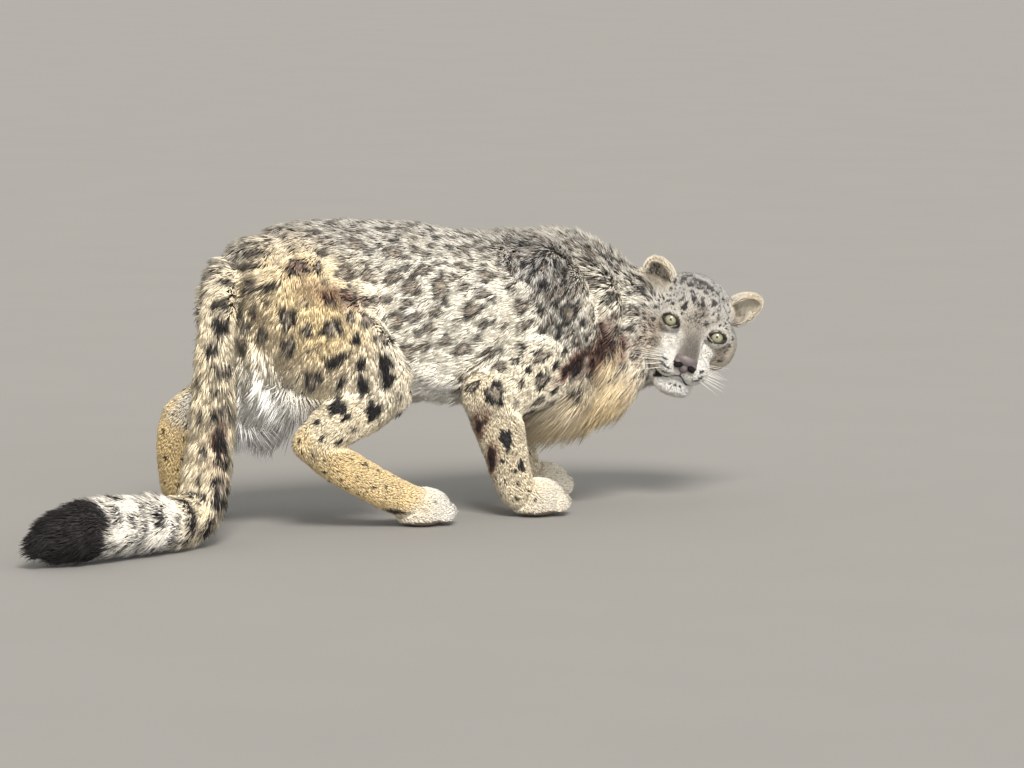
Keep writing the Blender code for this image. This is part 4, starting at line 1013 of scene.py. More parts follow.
HEAD_MARKS = [
    (656, 306, 2.3, 1.9, 0, SPOT, 1.0), (660, 303.5, 1.4, 1.2, 0, SPOT, 1.0),
    (668, 300, 4.2, 1.6, -10, SPOT, 0.9), (673, 303, 2.2, 1.8, -50, SPOT, 0.9),
    (682.5, 298, 4, 1.4, 28, SPOT, 0.85), (684.8, 306, 2.4, 5, -30, SPOT, 0.75),
    (694, 298, 2.6, 4.2, 15, SPOT, 0.9), (695.5, 293, 4, 1.2, -5, SPOT, 0.9),
    (698, 304, 1.8, 2.4, 0, SPOT, 0.95), (703, 303, 2.2, 4.8, 0, SPOT, 0.75),
    (704, 297.5, 3, 2, 0, SMUDGE, 0.8), (714.5, 302.5, 3.2, 4.4, -30, SPOT, 1.0),
    (726, 310, 1.3, 6, 25, SPOT, 0.9), (718.8, 317, 2, 5, 5, SMUDGE, 0.8),
    (726, 323, 1.7, 1.4, 0, SPOT, 0.8), (693, 318, 3.6, 1.8, 0, SMUDGE, 0.7),
    (698, 321, 2.6, 3, 0, SMUDGE, 0.7), (704, 315, 4, 3, 0, SMUDGE, 0.8),
    (706, 325, 4, 4, 0, SMUDGE, 0.8), (699, 328, 3, 2.4, 0, SMUDGE, 0.6),
    (733, 338.5, 1.8, 2.2, 0, SPOT, 0.9), (683.5, 279, 2.8, 4.6, -25, SPOT, 1.0),
    (677, 273.5, 5, 2, 10, SPOT, 1.0), (688, 275.5, 5, 2.4, 0, SPOT, 1.0),
    (697, 279.5, 5, 3, -15, SPOT, 1.0), (705, 283, 4.4, 3.4, 0, SPOT, 1.0),
    (711, 288, 4, 3.2, -30, SPOT, 1.0), (691, 284.5, 3, 2.4, 0, SPOT, 0.9),
    (699, 288, 3, 2, -20, SPOT, 0.9), (706, 292, 2.4, 3, 0, SPOT, 0.9), (676, 280, 2, 3, -20, SPOT, 0.8),
    (692, 291, 2, 3, 10, SPOT, 0.8), (714, 295, 2.4, 2.4, 0, SPOT, 0.9),
    (718, 293, 2.4, 1.8, -40, SPOT, 0.9), (724, 299, 2, 2, -40, SPOT, 0.8),
    (645.5, 315, 1.8, 4.2, -10, SPOT, 0.9), (641, 322, 2.4, 3.6, 0, SMUDGE, 0.9),
    (653, 318.5, 2.4, 1.8, 0, SPOT, 0.85), (650, 339, 3.6, 2.2, 0, SMUDGE, 0.7),
    (655, 331, 2, 1.4, 0, SMUDGE, 0.6), (644, 333, 2, 2.4, 0, SMUDGE, 0.7),
    (650, 308, 1.6, 1.8, 0, SMUDGE, 0.8), (664.5, 358.3, 3.4, 1.15, -35, SPOT, 1.0),
    (662, 364, 4.0, 1.15, -35, SPOT, 1.0), (666.5, 367, 4.2, 1.15, -35, SPOT, 1.0),
    (665, 372.5, 3.8, 1.1, -25, SPOT, 1.0), (657.5, 373.5, 4.8, 4.0, 0, SPOT, 1.0),
    (695.5, 381.5, 4, 1.2, 5, SPOT, 0.9), (701, 378.5, 3.4, 1.15, 0, SPOT, 1.0),
    (693, 388, 5, 1.4, -10, SPOT, 0.95), (702, 372.5, 2.8, 1.1, 10, SPOT, 1.0),
    (670, 384, 1.5, 1.1, 0, SPOT, 0.9), (675, 385, 1.5, 1.1, 0, SPOT, 0.9),
    (680, 387, 1.4, 1.1, 0, SPOT, 0.8), (726, 352, 2.8, 1.3, 20, SPOT, 0.9),
    (730, 346, 2.2, 1.5, 0, SPOT, 0.9), (720, 362, 3, 1.6, 0, SPOT, 0.8),
    (648, 324, 9, 13, 0, SMUDGE, 0.54), (654, 342, 8, 7, 0, SMUDGE, 0.50),
    (640, 340, 6, 9, 0, SMUDGE, 0.55), (697, 320, 11, 9, 0, SMUDGE, 0.58),
    (703, 308, 7, 8, 0, SMUDGE, 0.52), (686, 326, 6, 7, 0, SMUDGE, 0.40),
    (727, 346, 8, 8, 0, SMUDGE, 0.50), (720, 359, 9, 6, 0, SMUDGE, 0.50),
    (700, 284, 15, 8, -30, SMUDGE, 0.62), (742, 316, 5, 6, 0, SMUDGE, 0.55),
    (736, 322, 4, 4, 0, SMUDGE, 0.6), (655, 268, 7, 8, 0, SMUDGE, 0.75), (664, 276, 4, 5, 0, SMUDGE, 0.6),
    (648, 275, 3, 5, 0, SMUDGE, 0.4),
]
# x, y, half length, half width, tilt and strength of the rust brown stains
STAINS = [
    (334, 296, 46, 15, -4, 0.95), (298, 268, 18, 12, 0, 0.75), (598, 350, 38, 18, 20, 1.6),
    (616, 348, 18, 18, 15, 1.4), (574, 367, 34, 12, 25, 1.5), (600, 385, 40, 26, 20, 0.35),
    (478, 425, 12, 24, -15, 1.3), (490, 462, 10, 26, -5, 1.4), (491, 490, 10, 22, 0, 1.5),
    (218, 442, 12, 24, 0, 1.1), (214, 470, 14, 16, 0, 0.45), (648, 328, 14, 18, 0, 0.22),
    (724, 352, 13, 10, 20, 0.28), (256, 316, 8, 8, 0, 0.4), (355, 372, 14, 14, 0, 0.15),
    (634, 350, 12, 16, 10, 0.55),
]

MOUTH_HALF = 0.034


def mouth_curve():
    """The line of the mouth as y and z in the head's axes: up under the nose and down round each pad."""
    found = []
    for k in range(-16, 17):
        t = abs(k) / 16
        z = -0.0610 - 0.0140 * ramp(t, 0.0, 0.62) + 0.003 * ramp(t, 0.75, 1.0)
        found.append((math.copysign(MOUTH_HALF * t, k), float(z)))
    return found


def ray_tree(mesh, shift=Vector()):
    """A tree that finds where lines meet the mesh."""
    surface = bmesh.new()
    surface.from_mesh(mesh)
    surface.transform(Matrix.Translation(shift))
    tree = BVHTree.FromBMesh(surface)
    surface.free()
    return tree


OUTLINE_TREE = ray_tree(outline)


def seen_at(x, y):
    """Where the camera's line through a pixel of the photo meets the outline, and the normal there."""
    step = lens.sensor_width / FRAME_WIDE / lens.lens
    way = RIGHT * (x - FRAME_WIDE / 2) * step + UP * (FRAME_HIGH / 2 - y) * step - BACK
    hit, normal, _, _ = OUTLINE_TREE.ray_cast(EYE_OF_CAMERA, way.normalized())
    return hit, normal


def flat_axes(normal, tilt):
    """Two axes in the skin's plane, turned by the tilt that the photo shows."""
    across = RIGHT * math.cos(math.radians(tilt)) + UP * math.sin(math.radians(tilt))
    across = (across - normal * across.dot(normal)).normalized()
    return across, normal.cross(across)


def placed_marks(rows, spread=1.0):
    """Marks as rows of middle, normal, two axes, half sizes, kind and darkness."""
    found = []
    for x, y, long, wide, tilt, kind, dark in rows:
        hit, normal = seen_at(x, y)
        if hit is not None:
            across, up = flat_axes(normal, tilt)
            half_sizes = (long * PIXEL * spread, wide * PIXEL * spread)
            found.append((*hit, *normal, *across, *up, *half_sizes, kind, dark))
    return found


marks = placed_marks(BODY_MARKS, 1.05) + placed_marks(HEAD_MARKS, 1.2)
print("marks placed from the photo:", len(marks), "of", len(BODY_MARKS) + len(HEAD_MARKS))

# %% [markdown]
# ### Marks for the rest of the coat
# Each zone of the body has its own style: small close spots on back and neck, large broken rings on flank
# and thigh, small dots on the lower legs. Places are drawn from a seed, and one that would touch an
# earlier mark is passed over, as real spots keep apart.

# %% Marks drawn for the rest of the coat
# Style of each zone: half size and its spread in mm, room between marks, share of rings, darkness
STYLES = {
    "back": (8.0, 0.40, 0.98, 0.30, 0.95),
    "flank": (15, 0.30, 1.02, 0.80, 0.85),
    "belly": (11, 0.3, 2.2, 0.0, 0.45),
    "neck": (9.5, 0.4, 0.92, 0.35, 0.95),
    "shoulder": (9, 0.3, 0.90, 0.5, 0.85),
    "thigh": (14, 0.25, 1.25, 0.55, 0.85),
    "arm": (12, 0.3, 1.4, 0.5, 0.85),
    "shank": (9, 0.3, 1.7, 0.0, 0.90),
    "lower": (4.0, 0.35, 3.0, 0.0, 0.85),
    "head": (3.6, 0.3, 1.9, 0.0, 0.85),
    "crown": (2.5, 0.35, 1.22, 0.0, 0.95),
}
ZONES = {
    "neck": "neck", "shoulder": "shoulder", "thigh": "thigh", "arm": "arm", "shank": "shank", "foot": "lower",
    "forearm": "lower", "head": "head",
}
dice = np.random.default_rng(21)
TRIES = 24000


def zone_at(index):
    """The style zone of an outline vertex, or None where the coat has no drawn marks."""
    name = GUIDES[int(fields["weights"][:, index].argmax())]["name"]
    share = fields["share"][index]
    if name == "trunk":
        return "back" if share > 0.74 else "flank" if share > 0.26 else "belly"
    if name == "head":
        ahead, _, up = fields["local"][index]
        if up > 0.030 and ahead < 0.055:
            return "crown"
        if ahead > 0.02 or up < -0.045:
            return None
    return ZONES.get(name)


def drawn_marks(taken):
    """Marks at seeded places of the outline, none nearer to another than its style allows."""
    middles = [row[:3] for row in taken]
    sizes = [(row[12] + row[13]) / 2 for row in taken]
    found = []
    for index in dice.permutation(len(outer))[:TRIES]:
        zone = zone_at(index)
        if zone is None:
            continue
        size, spread, room, rings, dark = STYLES[zone]
        half = size * MM * (1 + spread * dice.uniform(-1, 1))
        gaps = np.linalg.norm(np.array(middles) - outer[index], axis=1)
        if (gaps < (np.array(sizes) + half) * room).any():
            continue
        normal = Vector(outer_normals[index])
        across = Vector(fields["flow"][index])
        kind = RING if dice.random() < rings else SPOT
        tall = half * dice.uniform(0.65, 0.9)
        row = (*outer[index], *normal, *across, *normal.cross(across), half * 1.1, tall, kind, dark)
        found.append(row)
        middles.append(row[:3])
        sizes.append(half)
    return found


marks = np.array(marks + drawn_marks(marks))
print("marks in all:", len(marks))

# %% [markdown]
# ### Tail
# The tail starts with large blotches like those of the back, goes on with broken rings, and ends in close
# bands and a black tip. Rings are drawn by how far along the tail a point is, which is steadier than
# placing them one by one.

# %% Tail rings
TAIL_GUIDE = GUIDES[TAIL_LINE]
TAIL_LENGTH = float(np.linalg.norm(np.diff(TAIL_GUIDE["at"], axis=0), axis=1).sum())
# Middle as a share of the tail's length, half width along it in mm, and how solid the ring is
TAIL_RINGS = [
    (0.05, 11, 0.75), (0.12, 10, 0.7), (0.18, 8, 0.75), (0.25, 9, 0.7), (0.305, 8, 0.8), (0.365, 9, 0.75),
    (0.425, 10, 0.85), (0.48, 8, 0.8), (0.535, 11, 0.9), (0.59, 9, 0.85), (0.645, 12, 0.95), (0.70, 8, 0.9),
    (0.745, 8, 0.95), (0.79, 7, 0.95), (0.83, 7, 1.0), (0.868, 6, 1.0),
]
TIP_FROM = 0.89


def tail_marks(points, found):
    """Darkness and fill of the tail's rings."""
    which = found["samples"][TAIL_LINE]
    offset = points - TAIL_GUIDE["at"][which]
    along = TAIL_GUIDE["run"][which] + (offset * TAIL_GUIDE["along"][which]).sum(axis=1) / TAIL_LENGTH
    deep, wide = ((offset * TAIL_GUIDE[way][which]).sum(axis=1) for way in ("deep", "wide"))
    turn = np.arctan2(deep, wide)
    wobble = ripple(points, 0.05, 8) * 0.007 + 0.006 * np.sin(turn * 2 + along * 30)
    dark = np.zeros(len(points))
    for middle, half, solid in TAIL_RINGS:
        gap = np.abs(along + wobble - middle) * TAIL_LENGTH / (half * MM)
        waves = np.sin(turn * 3 + middle * 97) + np.sin(turn * 2 + middle * 41)
        broken = ramp(waves, -1.4 * solid - 0.2, 0.3 - solid)
        dark = np.maximum(dark, (1 - ramp(gap, 0.6, 1.25)) * broken * (0.6 + 0.4 * solid))
    dark = np.maximum(dark, ramp(along + wobble, TIP_FROM - 0.01, TIP_FROM + 0.012))
    facing = unit(offset) @ np.array(BACK)
    dark *= 1 - ramp(facing, -0.1, 0.25) * (1 - ramp(along, 0.46, 0.53))
    pale = ramp(along, 0.62, 0.7) * (1 - ramp(along, TIP_FROM, TIP_FROM + 0.03))
    return dark, pale


# %% [markdown]
# ### Reading the markings at a point
# Skin and tufts ask for the same markings at different places, so the marks are kept as rows and read
# where they are needed. An uneven radius keeps a spot from looking stamped, and a rosette is a broken
# dark ring with a darker middle than the ground.

# %% Read the markings anywhere
def irregular(angle, row):
    """An uneven radius, different for each mark."""
    phase = row[0] * 997 + row[2] * 577
    slow = 0.16 * np.sin(3 * angle + phase)
    quick = 0.12 * np.sin(5 * angle + phase * 1.7)
    return 1 + slow + quick + 0.07 * np.sin(9 * angle + phase)


def darkness_of(distance, angle, row):
    """How dark and how filled a mark is at a distance of 1 on its edge."""
    kind, dark = row[14], row[15]
    if kind == RING:
        phase = row[0] * 613 + row[1] * 389
        waves = np.sin(2 * angle + phase) + 0.8 * np.sin(3 * angle + phase * 1.3)
        gaps = 0.50 + 0.50 * ramp(waves, -1.1, 0.2)
        rim = np.exp(-(((distance - 0.80) / 0.30) ** 2)) * gaps
        return np.clip(rim * dark * 1.35, 0, 1), 1 - ramp(distance, 0.65, 1.0)
    if kind == SMUDGE:
        body = 1 - ramp(distance, 0.3, 1.35)
        return body * dark * 0.7, body * 0.6
    return (1 - ramp(distance, 0.78, 1.16)) * dark, np.zeros(len(distance))


def tree_of(points):
    """A tree that finds the points near a place."""
    tree = KDTree(len(points))
    for k, point in enumerate(points):
        tree.insert(point, k)
    tree.balance()
    return tree


def marks_at(points, found, hair_jitter):
    """Black and fill weights at each point."""
    tree = KDTree(len(points))
    shifted = points + hair_jitter
    for k, point in enumerate(shifted):
        tree.insert(point, k)
    tree.balance()
    black, fill = np.zeros(len(points)), np.zeros(len(points))
    for row in marks:
        near = [index for _, index, _ in tree.find_range(row[:3], max(row[12], row[13]) * 1.6 + 0.004)]
        if not near:
            continue
        away = shifted[near] - row[:3]
        u = (away @ row[6:9]) / row[12]
        v = (away @ row[9:12]) / row[13]
        level = np.abs(away @ row[3:6]) < 0.030
        angle = np.arctan2(v, u)
        dark, full = darkness_of(np.hypot(u, v) / irregular(angle, row), angle, row)
        black[near] = np.maximum(black[near], dark * level)
        fill[near] = np.maximum(fill[near], full * level)
    tail = weight_of(found["weights"], "tail")
    rings, pale = tail_marks(shifted, found)
    black = np.maximum(black, rings * tail)
    return black, fill, pale * tail


def stains_at(points):
    """Rust brown stains, softest at their edges."""
    total = np.zeros(len(points))
    for x, y, long, wide, tilt, strength in STAINS:
        hit, normal = seen_at(x, y)
        if hit is None:
            continue
        across, up = flat_axes(normal, tilt)
        away = points - np.array(hit)
        reach = np.hypot(away @ np.array(across) / (long * PIXEL), away @ np.array(up) / (wide * PIXEL))
        level = np.abs(away @ np.array(normal)) < 0.05
        total = np.maximum(total, (1 - ramp(reach, 0.2, 1.25)) * strength * level)
    return np.clip(total * (0.8 + 0.25 * ripple(points, 0.02, 5)), 0, 1)


# %% [markdown]
# ## Materials
# Fur is two things at once: fine woolly underfur and longer guard hairs with a dull sheen. Hair is
# keratin with an index of refraction near 1.55. Its roughness of about 0.6 stands for many hairs that
# each catch the light in a slightly different way.

# %% Fur colours and the fur material
CREAM = "#F3ECD9"
SMOKE = "#A9A59F"
OCHRE = "#F8DCA2"
WHITE = "#FAF8F2"
ROSETTE = "#A89C8C"
BLACK = "#1A1514"
RUST = "#75422F"
UNDERFUR_AND_SHADE_TINT = "#CFC8C0"
HAIR_IOR = 1.55


def mix_colours(tree, share, first, second, blend="MIX"):
    mixer = node(tree, "Mix", data_type="RGBA", blend_type=blend)
    for socket, value in ((0, share), (6, first), (7, second)):
        if isinstance(value, bpy.types.NodeSocket):
            tree.links.new(value, mixer.inputs[socket])
        else:
            mixer.inputs[socket].default_value = value
    return mixer.outputs[2]


def coat_colour(tree):
    """The colour that zones, marks, stains and the painted shade of ear cups and toe gaps give, from the
    attributes that the mesh carries.
    """
    zones = node(tree, "Attribute", attribute_name="coat_ground").outputs["Color"]
    drawn = node(tree, "Attribute", attribute_name="coat_marks_and_shade").outputs["Color"]
    zone = node(tree, "SeparateColor", [("Color", zones)]).outputs
    mark = node(tree, "SeparateColor", [("Color", drawn)]).outputs
    colour = mix_colours(tree, zone[0], linear(CREAM), linear(SMOKE))
    colour = mix_colours(tree, zone[1], colour, linear(OCHRE))
    colour = mix_colours(tree, zone[2], colour, linear(WHITE))
    colour = mix_colours(tree, mark[1], colour, linear(ROSETTE))
    colour = mix_colours(tree, mark[2], colour, linear(RUST))
    return mix_colours(tree, mark[0], colour, linear(BLACK))


def guard_hair():
    """Combed guard hair over underfur: pale tips, and painted shade that darkens each tuft towards its root.
    """
    material, tree, shader = material_with("combed_guard_hair", 0.62, HAIR_IOR)
    strand = node(tree, "Attribute", attribute_name="coat_strand").outputs["Color"]
    part = node(tree, "SeparateColor", [("Color", strand)]).outputs
    # Painted shade: a tuft darkens towards its root, deep in the coat where the hairs shade each other
    shade = node(tree, "MapRange", [
        ("Value", part[0]), ("From Min", 0.0), ("From Max", 0.7), ("To Min", 0.78), ("To Max", 1.0),
    ]).outputs[0]
    vary = node(tree, "MapRange", [("Value", part[1]), ("To Min", 0.92), ("To Max", 1.08)]).outputs[0]
    both = node(tree, "Math", [(0, shade), (1, vary)], operation="MULTIPLY").outputs[0]
    grey = node(tree, "CombineColor", [("Red", both), ("Green", both), ("Blue", both)]).outputs[0]
    tree.links.new(mix_colours(tree, 1.0, coat_colour(tree), grey, "MULTIPLY"), shader.inputs["Base Color"])
    shader.inputs["Specular IOR Level"].default_value = 0.30
    shader.inputs["Sheen Weight"].default_value = 0.15
    shader.inputs["Sheen Roughness"].default_value = 0.5
    return material


def furred_hide():
    """The skin, which shows between tufts and carries the same markings, darker as underfur and as painted
    shade under the coat, with a bump of fine short hair.
    """
    material, tree, shader = material_with("furred_hide", 0.75, HAIR_IOR)
    place = node(tree, "TexCoord").outputs["Object"]
    hairs = node(tree, "TexNoise", [("Vector", place), ("Scale", 900.0), ("Detail", 2.0)]).outputs["Fac"]
    bump = node(tree, "Bump", [("Strength", 0.35), ("Distance", 0.001), ("Height", hairs)]).outputs[0]
    # Darker than the tufts: partly the greyer underfur, partly painted shade under the coat
    dark = mix_colours(tree, 1.0, coat_colour(tree), linear(UNDERFUR_AND_SHADE_TINT), "MULTIPLY")
    tree.links.new(dark, shader.inputs["Base Color"])
    tree.links.new(bump, shader.inputs["Normal"])
    return material


GUARD_HAIR = guard_hair()
HIDE = furred_hide()


# %% [markdown]
# ## Fitting the skin under the coat
# The outline is where the coat ends. The skin lies under it by the coat's depth, so every vertex moves
# inwards by the field that was just made. The eye sockets and the openings between the lids are then cut.

# %% Pull the skin in and cut the eye openings
LID = 1.7 * MM
OPEN_WIDE, OPEN_HIGH = 13.0 * MM, 9.4 * MM


def facing(place, way):
    """A matrix at place, with +X along way and +Z towards the crown of the head."""
    upright = HEAD.to_3x3() @ Vector((0, 0, 1))
    left = upright.cross(way).normalized()
    return axes_matrix(place, way, left, way.cross(left))


def eye_axes(sign):
    """The axes of an eye's opening: +X out of it, nearly at the camera, and +Z up."""
    place = EYES["left" if sign > 0 else "right"]
    ahead = (HEAD.to_3x3() @ Vector((1, sign * 0.25, 0))).normalized()
    out = ((EYE_OF_CAMERA - place).normalized() * 0.8 + ahead * 0.2).normalized()
    return facing(place, out)


def almond_ring(sign, grow=1.0, ahead=None, count=40):
    """Points round the opening between the lids, on a ball round the eye or at a distance ahead."""
    found = []
    for k in range(count):
        a = 2 * math.pi * k / count
        nose_side = max(0.0, -math.cos(a))
        y = OPEN_WIDE * (math.cos(a) - 0.10 * nose_side**3)
        slant = 0.12 * y
        z = OPEN_HIGH * math.sin(a) * (1 - 0.30 * math.cos(a) ** 4) + slant - 0.0002 - 0.0014 * nose_side**2
        y, z = y * sign * grow, z * grow
        x = math.sqrt(max(0.004**2, (EYE_RADIUS + 0.0009) ** 2 - y * y - z * z)) if ahead is None else ahead
        found.append(eye_axes(sign) @ Vector((x, y, z)))
    return found


def lid_cutter(sign):
    """A prism through the opening between the lids."""
    shell = bmesh.new()
    near = [shell.verts.new(p) for p in almond_ring(sign, 0.98, 0.001)]
    far = [shell.verts.new(p) for p in almond_ring(sign, 1.10, 0.040)]
    for k in range(len(near)):
        shell.faces.new((near[k], near[(k + 1) % len(near)], far[(k + 1) % len(near)], far[k]))
    shell.faces.new(near)
    shell.faces.new(far)
    return mesh_from("lids", shell)


def over_eyes(points):
    """Moves skin off the eyeballs, so that it lies over them as lids."""
    for eye in EYES.values():
        away = points - np.array(eye)
        gap = np.linalg.norm(away, axis=1, keepdims=True)
        reach = EYE_RADIUS + LID
        lifted = reach + 0.5 * (gap - reach + np.sqrt((gap - reach) ** 2 + 0.0012**2))
        near = gap < 0.030
        points = np.where(near, np.array(eye) + away / gap * np.where(near, lifted, gap), points)
    return points


def eye_share(points):
    """1 on the edge of the nearer eye's opening, less inside it and more outside."""
    best = np.full(len(points), 9.0)
    for sign in SIDES.values():
        x, y, z = in_axes(points, eye_axes(sign)).T
        share = np.hypot(y / OPEN_WIDE, (z + 0.0006) / OPEN_HIGH)
        near = np.abs(x - 0.012) < 0.016
        best[near] = np.minimum(best, share)[near]
    return best


FLOOR_CLEAR = 0.3 * MM
inner = over_eyes(outer - outer_normals * fields["depth"][:, None])
inner[:, 2] = np.maximum(inner[:, 2], FLOOR_CLEAR)
hide = outline.copy()
hide.vertices.foreach_set("co", inner.ravel())
for sign in SIDES.values():
    hide = combined(hide, lid_cutter(sign), "DIFFERENCE")
print("faces in the skin:", len(hide.polygons))

# %% [markdown]
# ### The skin's own colours
# Between the tufts the skin shows, so it carries the same markings, written as a colour on each vertex.
# The cut for the eyes changed the mesh, so each new vertex takes the colours of the nearest old one.

# %% Give the skin its markings and its body
FLESH = [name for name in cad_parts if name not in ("nose", "right_eye", "left_eye")]


def colour_attribute(mesh, name, values):
    """Writes a colour for each vertex; a missing channel is 0."""
    full = np.ones((len(values), 4), np.float32)
    full[:, :values.shape[1]] = values
    mesh.attributes.new(name, "FLOAT_COLOR", "POINT").data.foreach_set("color", full.ravel())


def nearest_indices(points, targets):
    tree = tree_of(targets)
    return np.array([tree.find(point)[1] for point in points])


def in_frame(name, mesh, material):
    """A finished piece, moved from the body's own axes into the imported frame, riding on the one body."""
    mesh.transform(Matrix.Translation(SHIFT))
    mesh.materials.clear()
    mesh.materials.append(material)
    thing = object_from(name, mesh)
    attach(thing, "root")
    return thing


hide_points, _ = corners_of(hide)
twin = nearest_indices(hide_points, inner)
black, fill, pale = marks_at(outer, fields, np.zeros(3))
# The grey bridge, painted shade in the ear cups and toe gaps, and the black rims round the eyes
black = np.maximum(black, np.maximum(fields["shade"], 1 - ramp(eye_share(inner), 1.04, 1.16)))
stain = stains_at(outer)
fill = np.maximum(fill, fields["sole"])
ground[:, 2] = np.maximum(ground[:, 2], pale * 0.7)
colour_attribute(hide, "coat_ground", ground[twin])
colour_attribute(hide, "coat_marks_and_shade", np.stack([black, fill, stain], axis=1)[twin])
hide.shade_smooth()
skin = in_frame("skin", hide, HIDE)
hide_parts(*FLESH)
print("skin stands for", len(FLESH), "nodes")

# %% [markdown]
# ## The coat
# Real fur has hundreds of hairs for each square millimetre. Here one tuft of a few faces stands for many
# hairs: a thin three-sided spike, rooted in the skin, that rises and then lies along the body. About
# 246,000 of them overlap like roof tiles. Tufts near each other are drawn together at their tips, as hair
# clumps into locks.

# %% Choose where tufts grow
tufts_rng = np.random.default_rng(5)


def triangles_of(mesh):
    mesh.calc_loop_triangles()
    corners = np.empty(len(mesh.loop_triangles) * 3, int)
    mesh.loop_triangles.foreach_get("vertices", corners)
    return corners.reshape(-1, 3)


def roots_on(points, triangles, density):
    """Seeded roots, spread by area and density, as triangle indices and weights of the three corners."""
    a, b, c = (points[triangles[:, k]] for k in range(3))
    area = np.linalg.norm(np.cross(b - a, c - a), axis=1) / 2 * 1e4
    wanted = area * density[triangles].mean(axis=1)
    total = np.cumsum(wanted)
    count = int(total[-1])
    places = (np.arange(count) + tufts_rng.random(count)) / count * total[-1]
    chosen = np.searchsorted(total, places).clip(0, len(triangles) - 1)
    r1, r2 = np.sqrt(tufts_rng.random(count)), tufts_rng.random(count)
    return chosen, np.stack([1 - r1, r1 * (1 - r2), r1 * r2], axis=1)


triangles = triangles_of(outline)
bare = fields["density"].copy()
bare[eye_share(inner) < 1.07] = 0
NOSE_AT, NOSE_HALF = np.array([0.103, 0, -0.036]), np.array([0.018, 0.018, 0.014])
bare[np.linalg.norm((in_head(inner) - NOSE_AT) / NOSE_HALF, axis=1) < 1.0] = 0
chosen, corner_weights = roots_on(inner, triangles, bare)
print("tufts:", len(chosen))


def at_roots(values):
    """Values of the three corners, mixed at each root."""
    parts = values[triangles[chosen]]
    shape = corner_weights.shape + (1,) * (parts.ndim - 2)
    return (parts * corner_weights.reshape(shape)).sum(axis=1)


def near_mouth(points, reach):
    """1 near the line of the mouth, seen from the front of the face."""
    local = in_head(points)
    line = np.array(mouth_curve() + [(0, -0.054), (0, -0.058)])
    gap = np.min([np.hypot(local[:, 1] - y, local[:, 2] - z) for y, z in line], axis=0)
    return (1 - ramp(gap, reach * 0.6, reach)) * (local[:, 0] > 0.035)


# %% [markdown]
# ### The shape of a tuft
# A lock of hair leaves the skin at a slant, rises to the depth of the coat and then lies back. Root,
# middle and tip are enough for that. Slow waves turn the lie from side to side, and long hair is drawn
# together in clumps, as on the living animal.

# %% Shape every tuft
CLUMPS = 11000


def tuft_shapes():
    """Centre line, side vectors and width of each tuft."""
    count = len(chosen)
    root, normal, flow = at_roots(inner), unit(at_roots(outer_normals)), at_roots(fields["flow"])
    side = unit(np.cross(flow, normal))
    swirl = ripple(root, 0.055, 31) * 0.26 + ripple(root, 0.018, 32) * 0.14 + tufts_rng.normal(0, 0.10, count)
    flow = unit(flow + side * swirl[:, None])
    length = at_roots(fields["length"]) * tufts_rng.uniform(0.75, 1.15, count)
    height = at_roots(fields["depth"] + fields["proud"]) * tufts_rng.uniform(0.70, 1.02, count)
    height = np.minimum(height * (1 + 0.10 * ripple(root, 0.03, 33)), length * 0.8)
    ahead = np.sqrt(length**2 - height**2)
    middle = root + flow * (ahead * 0.45)[:, None] + normal * (height * 0.68)[:, None]
    tip = root + flow * ahead[:, None] + normal * height[:, None]
    return root, normal, flow, middle, tip, at_roots(fields["width"]) * tufts_rng.uniform(0.8, 1.2, count)


def clumped(root, middle, tip):
    """Middles and tips drawn towards those of the nearest clump leader."""
    leaders = tufts_rng.choice(len(root), CLUMPS, replace=False)
    leader = leaders[nearest_indices(root, root[leaders])]
    pull = tufts_rng.uniform(0.3, 0.7, len(root))[:, None]
    closeness = np.clip(1 - np.linalg.norm(root - root[leader], axis=1) / 0.016, 0, 1)[:, None]
    long_hair = ramp(np.linalg.norm(tip - root, axis=1), 8 * MM, 30 * MM)[:, None]
    pull *= 0.12 + 0.88 * long_hair
    middle = middle + (middle[leader] - middle) * pull * closeness * 0.45
    return middle, tip + (tip[leader] - tip) * pull * closeness


root, normal, flow, middle, tip, width = tuft_shapes()
middle, tip = clumped(root, middle, tip)
above_floor = 0.8 * MM
middle[:, 2] = np.maximum(middle[:, 2], above_floor)
tip[:, 2] = np.maximum(tip[:, 2], above_floor)
side = unit(np.cross(unit(tip - root), normal))
upward = np.cross(side, unit(tip - root))
print("mean tuft length:", round(float(np.linalg.norm(tip - root, axis=1).mean() * 1000), 1), "mm")

# %% [markdown]
# ### The colour of a tuft
# A hair is dark or pale along most of its length, so the marks are read where the tuft is seen, at its
# middle and tip, and not at its root. A random edge for each tuft makes the border of a spot ragged.

# %% Colour every tuft
tuft_fields = {
    "weights": at_roots(fields["weights"].T).T,
    "samples": fields["samples"][:, triangles[chosen][:, 0]],
}
jitter = tufts_rng.normal(0, 1.0 * MM, root.shape)
# The grey bridge, painted shade in the ear cups and toe gaps, and the black rims round the eyes, for each
# tuft
shade = np.maximum(at_roots(fields["shade"]), 1 - ramp(eye_share(root), 1.06, 1.17))
edge = tufts_rng.uniform(0.22, 0.62, len(root))
tuft_weights = tuft_fields["weights"]
softness = 1 - 0.18 * weight_of(tuft_weights, "trunk") - 0.04 * weight_of(tuft_weights, "neck", "shoulder")


def coloured(places):
    """Black with painted shade, fill and stain where a part of each tuft lies, and how pale the tail is
    there.
    """
    black, fill, pale = marks_at(places, tuft_fields, jitter)
    black = np.maximum(black, near_mouth(places, 1.9 * MM))
    stain = stains_at(places)
    black = np.maximum(black, 1.7 * (stain - 0.66))
    # A tuft is either dark or pale, as hairs are, so marks get ragged edges; then the grey bridge, painted
    # shade in ear cups and toe gaps, and the black eye rims are laid over
    black = np.maximum(np.clip((black - edge) * 5 + 0.5, 0, 1) * softness, shade)
    return np.stack([black, fill, stain], axis=1), pale


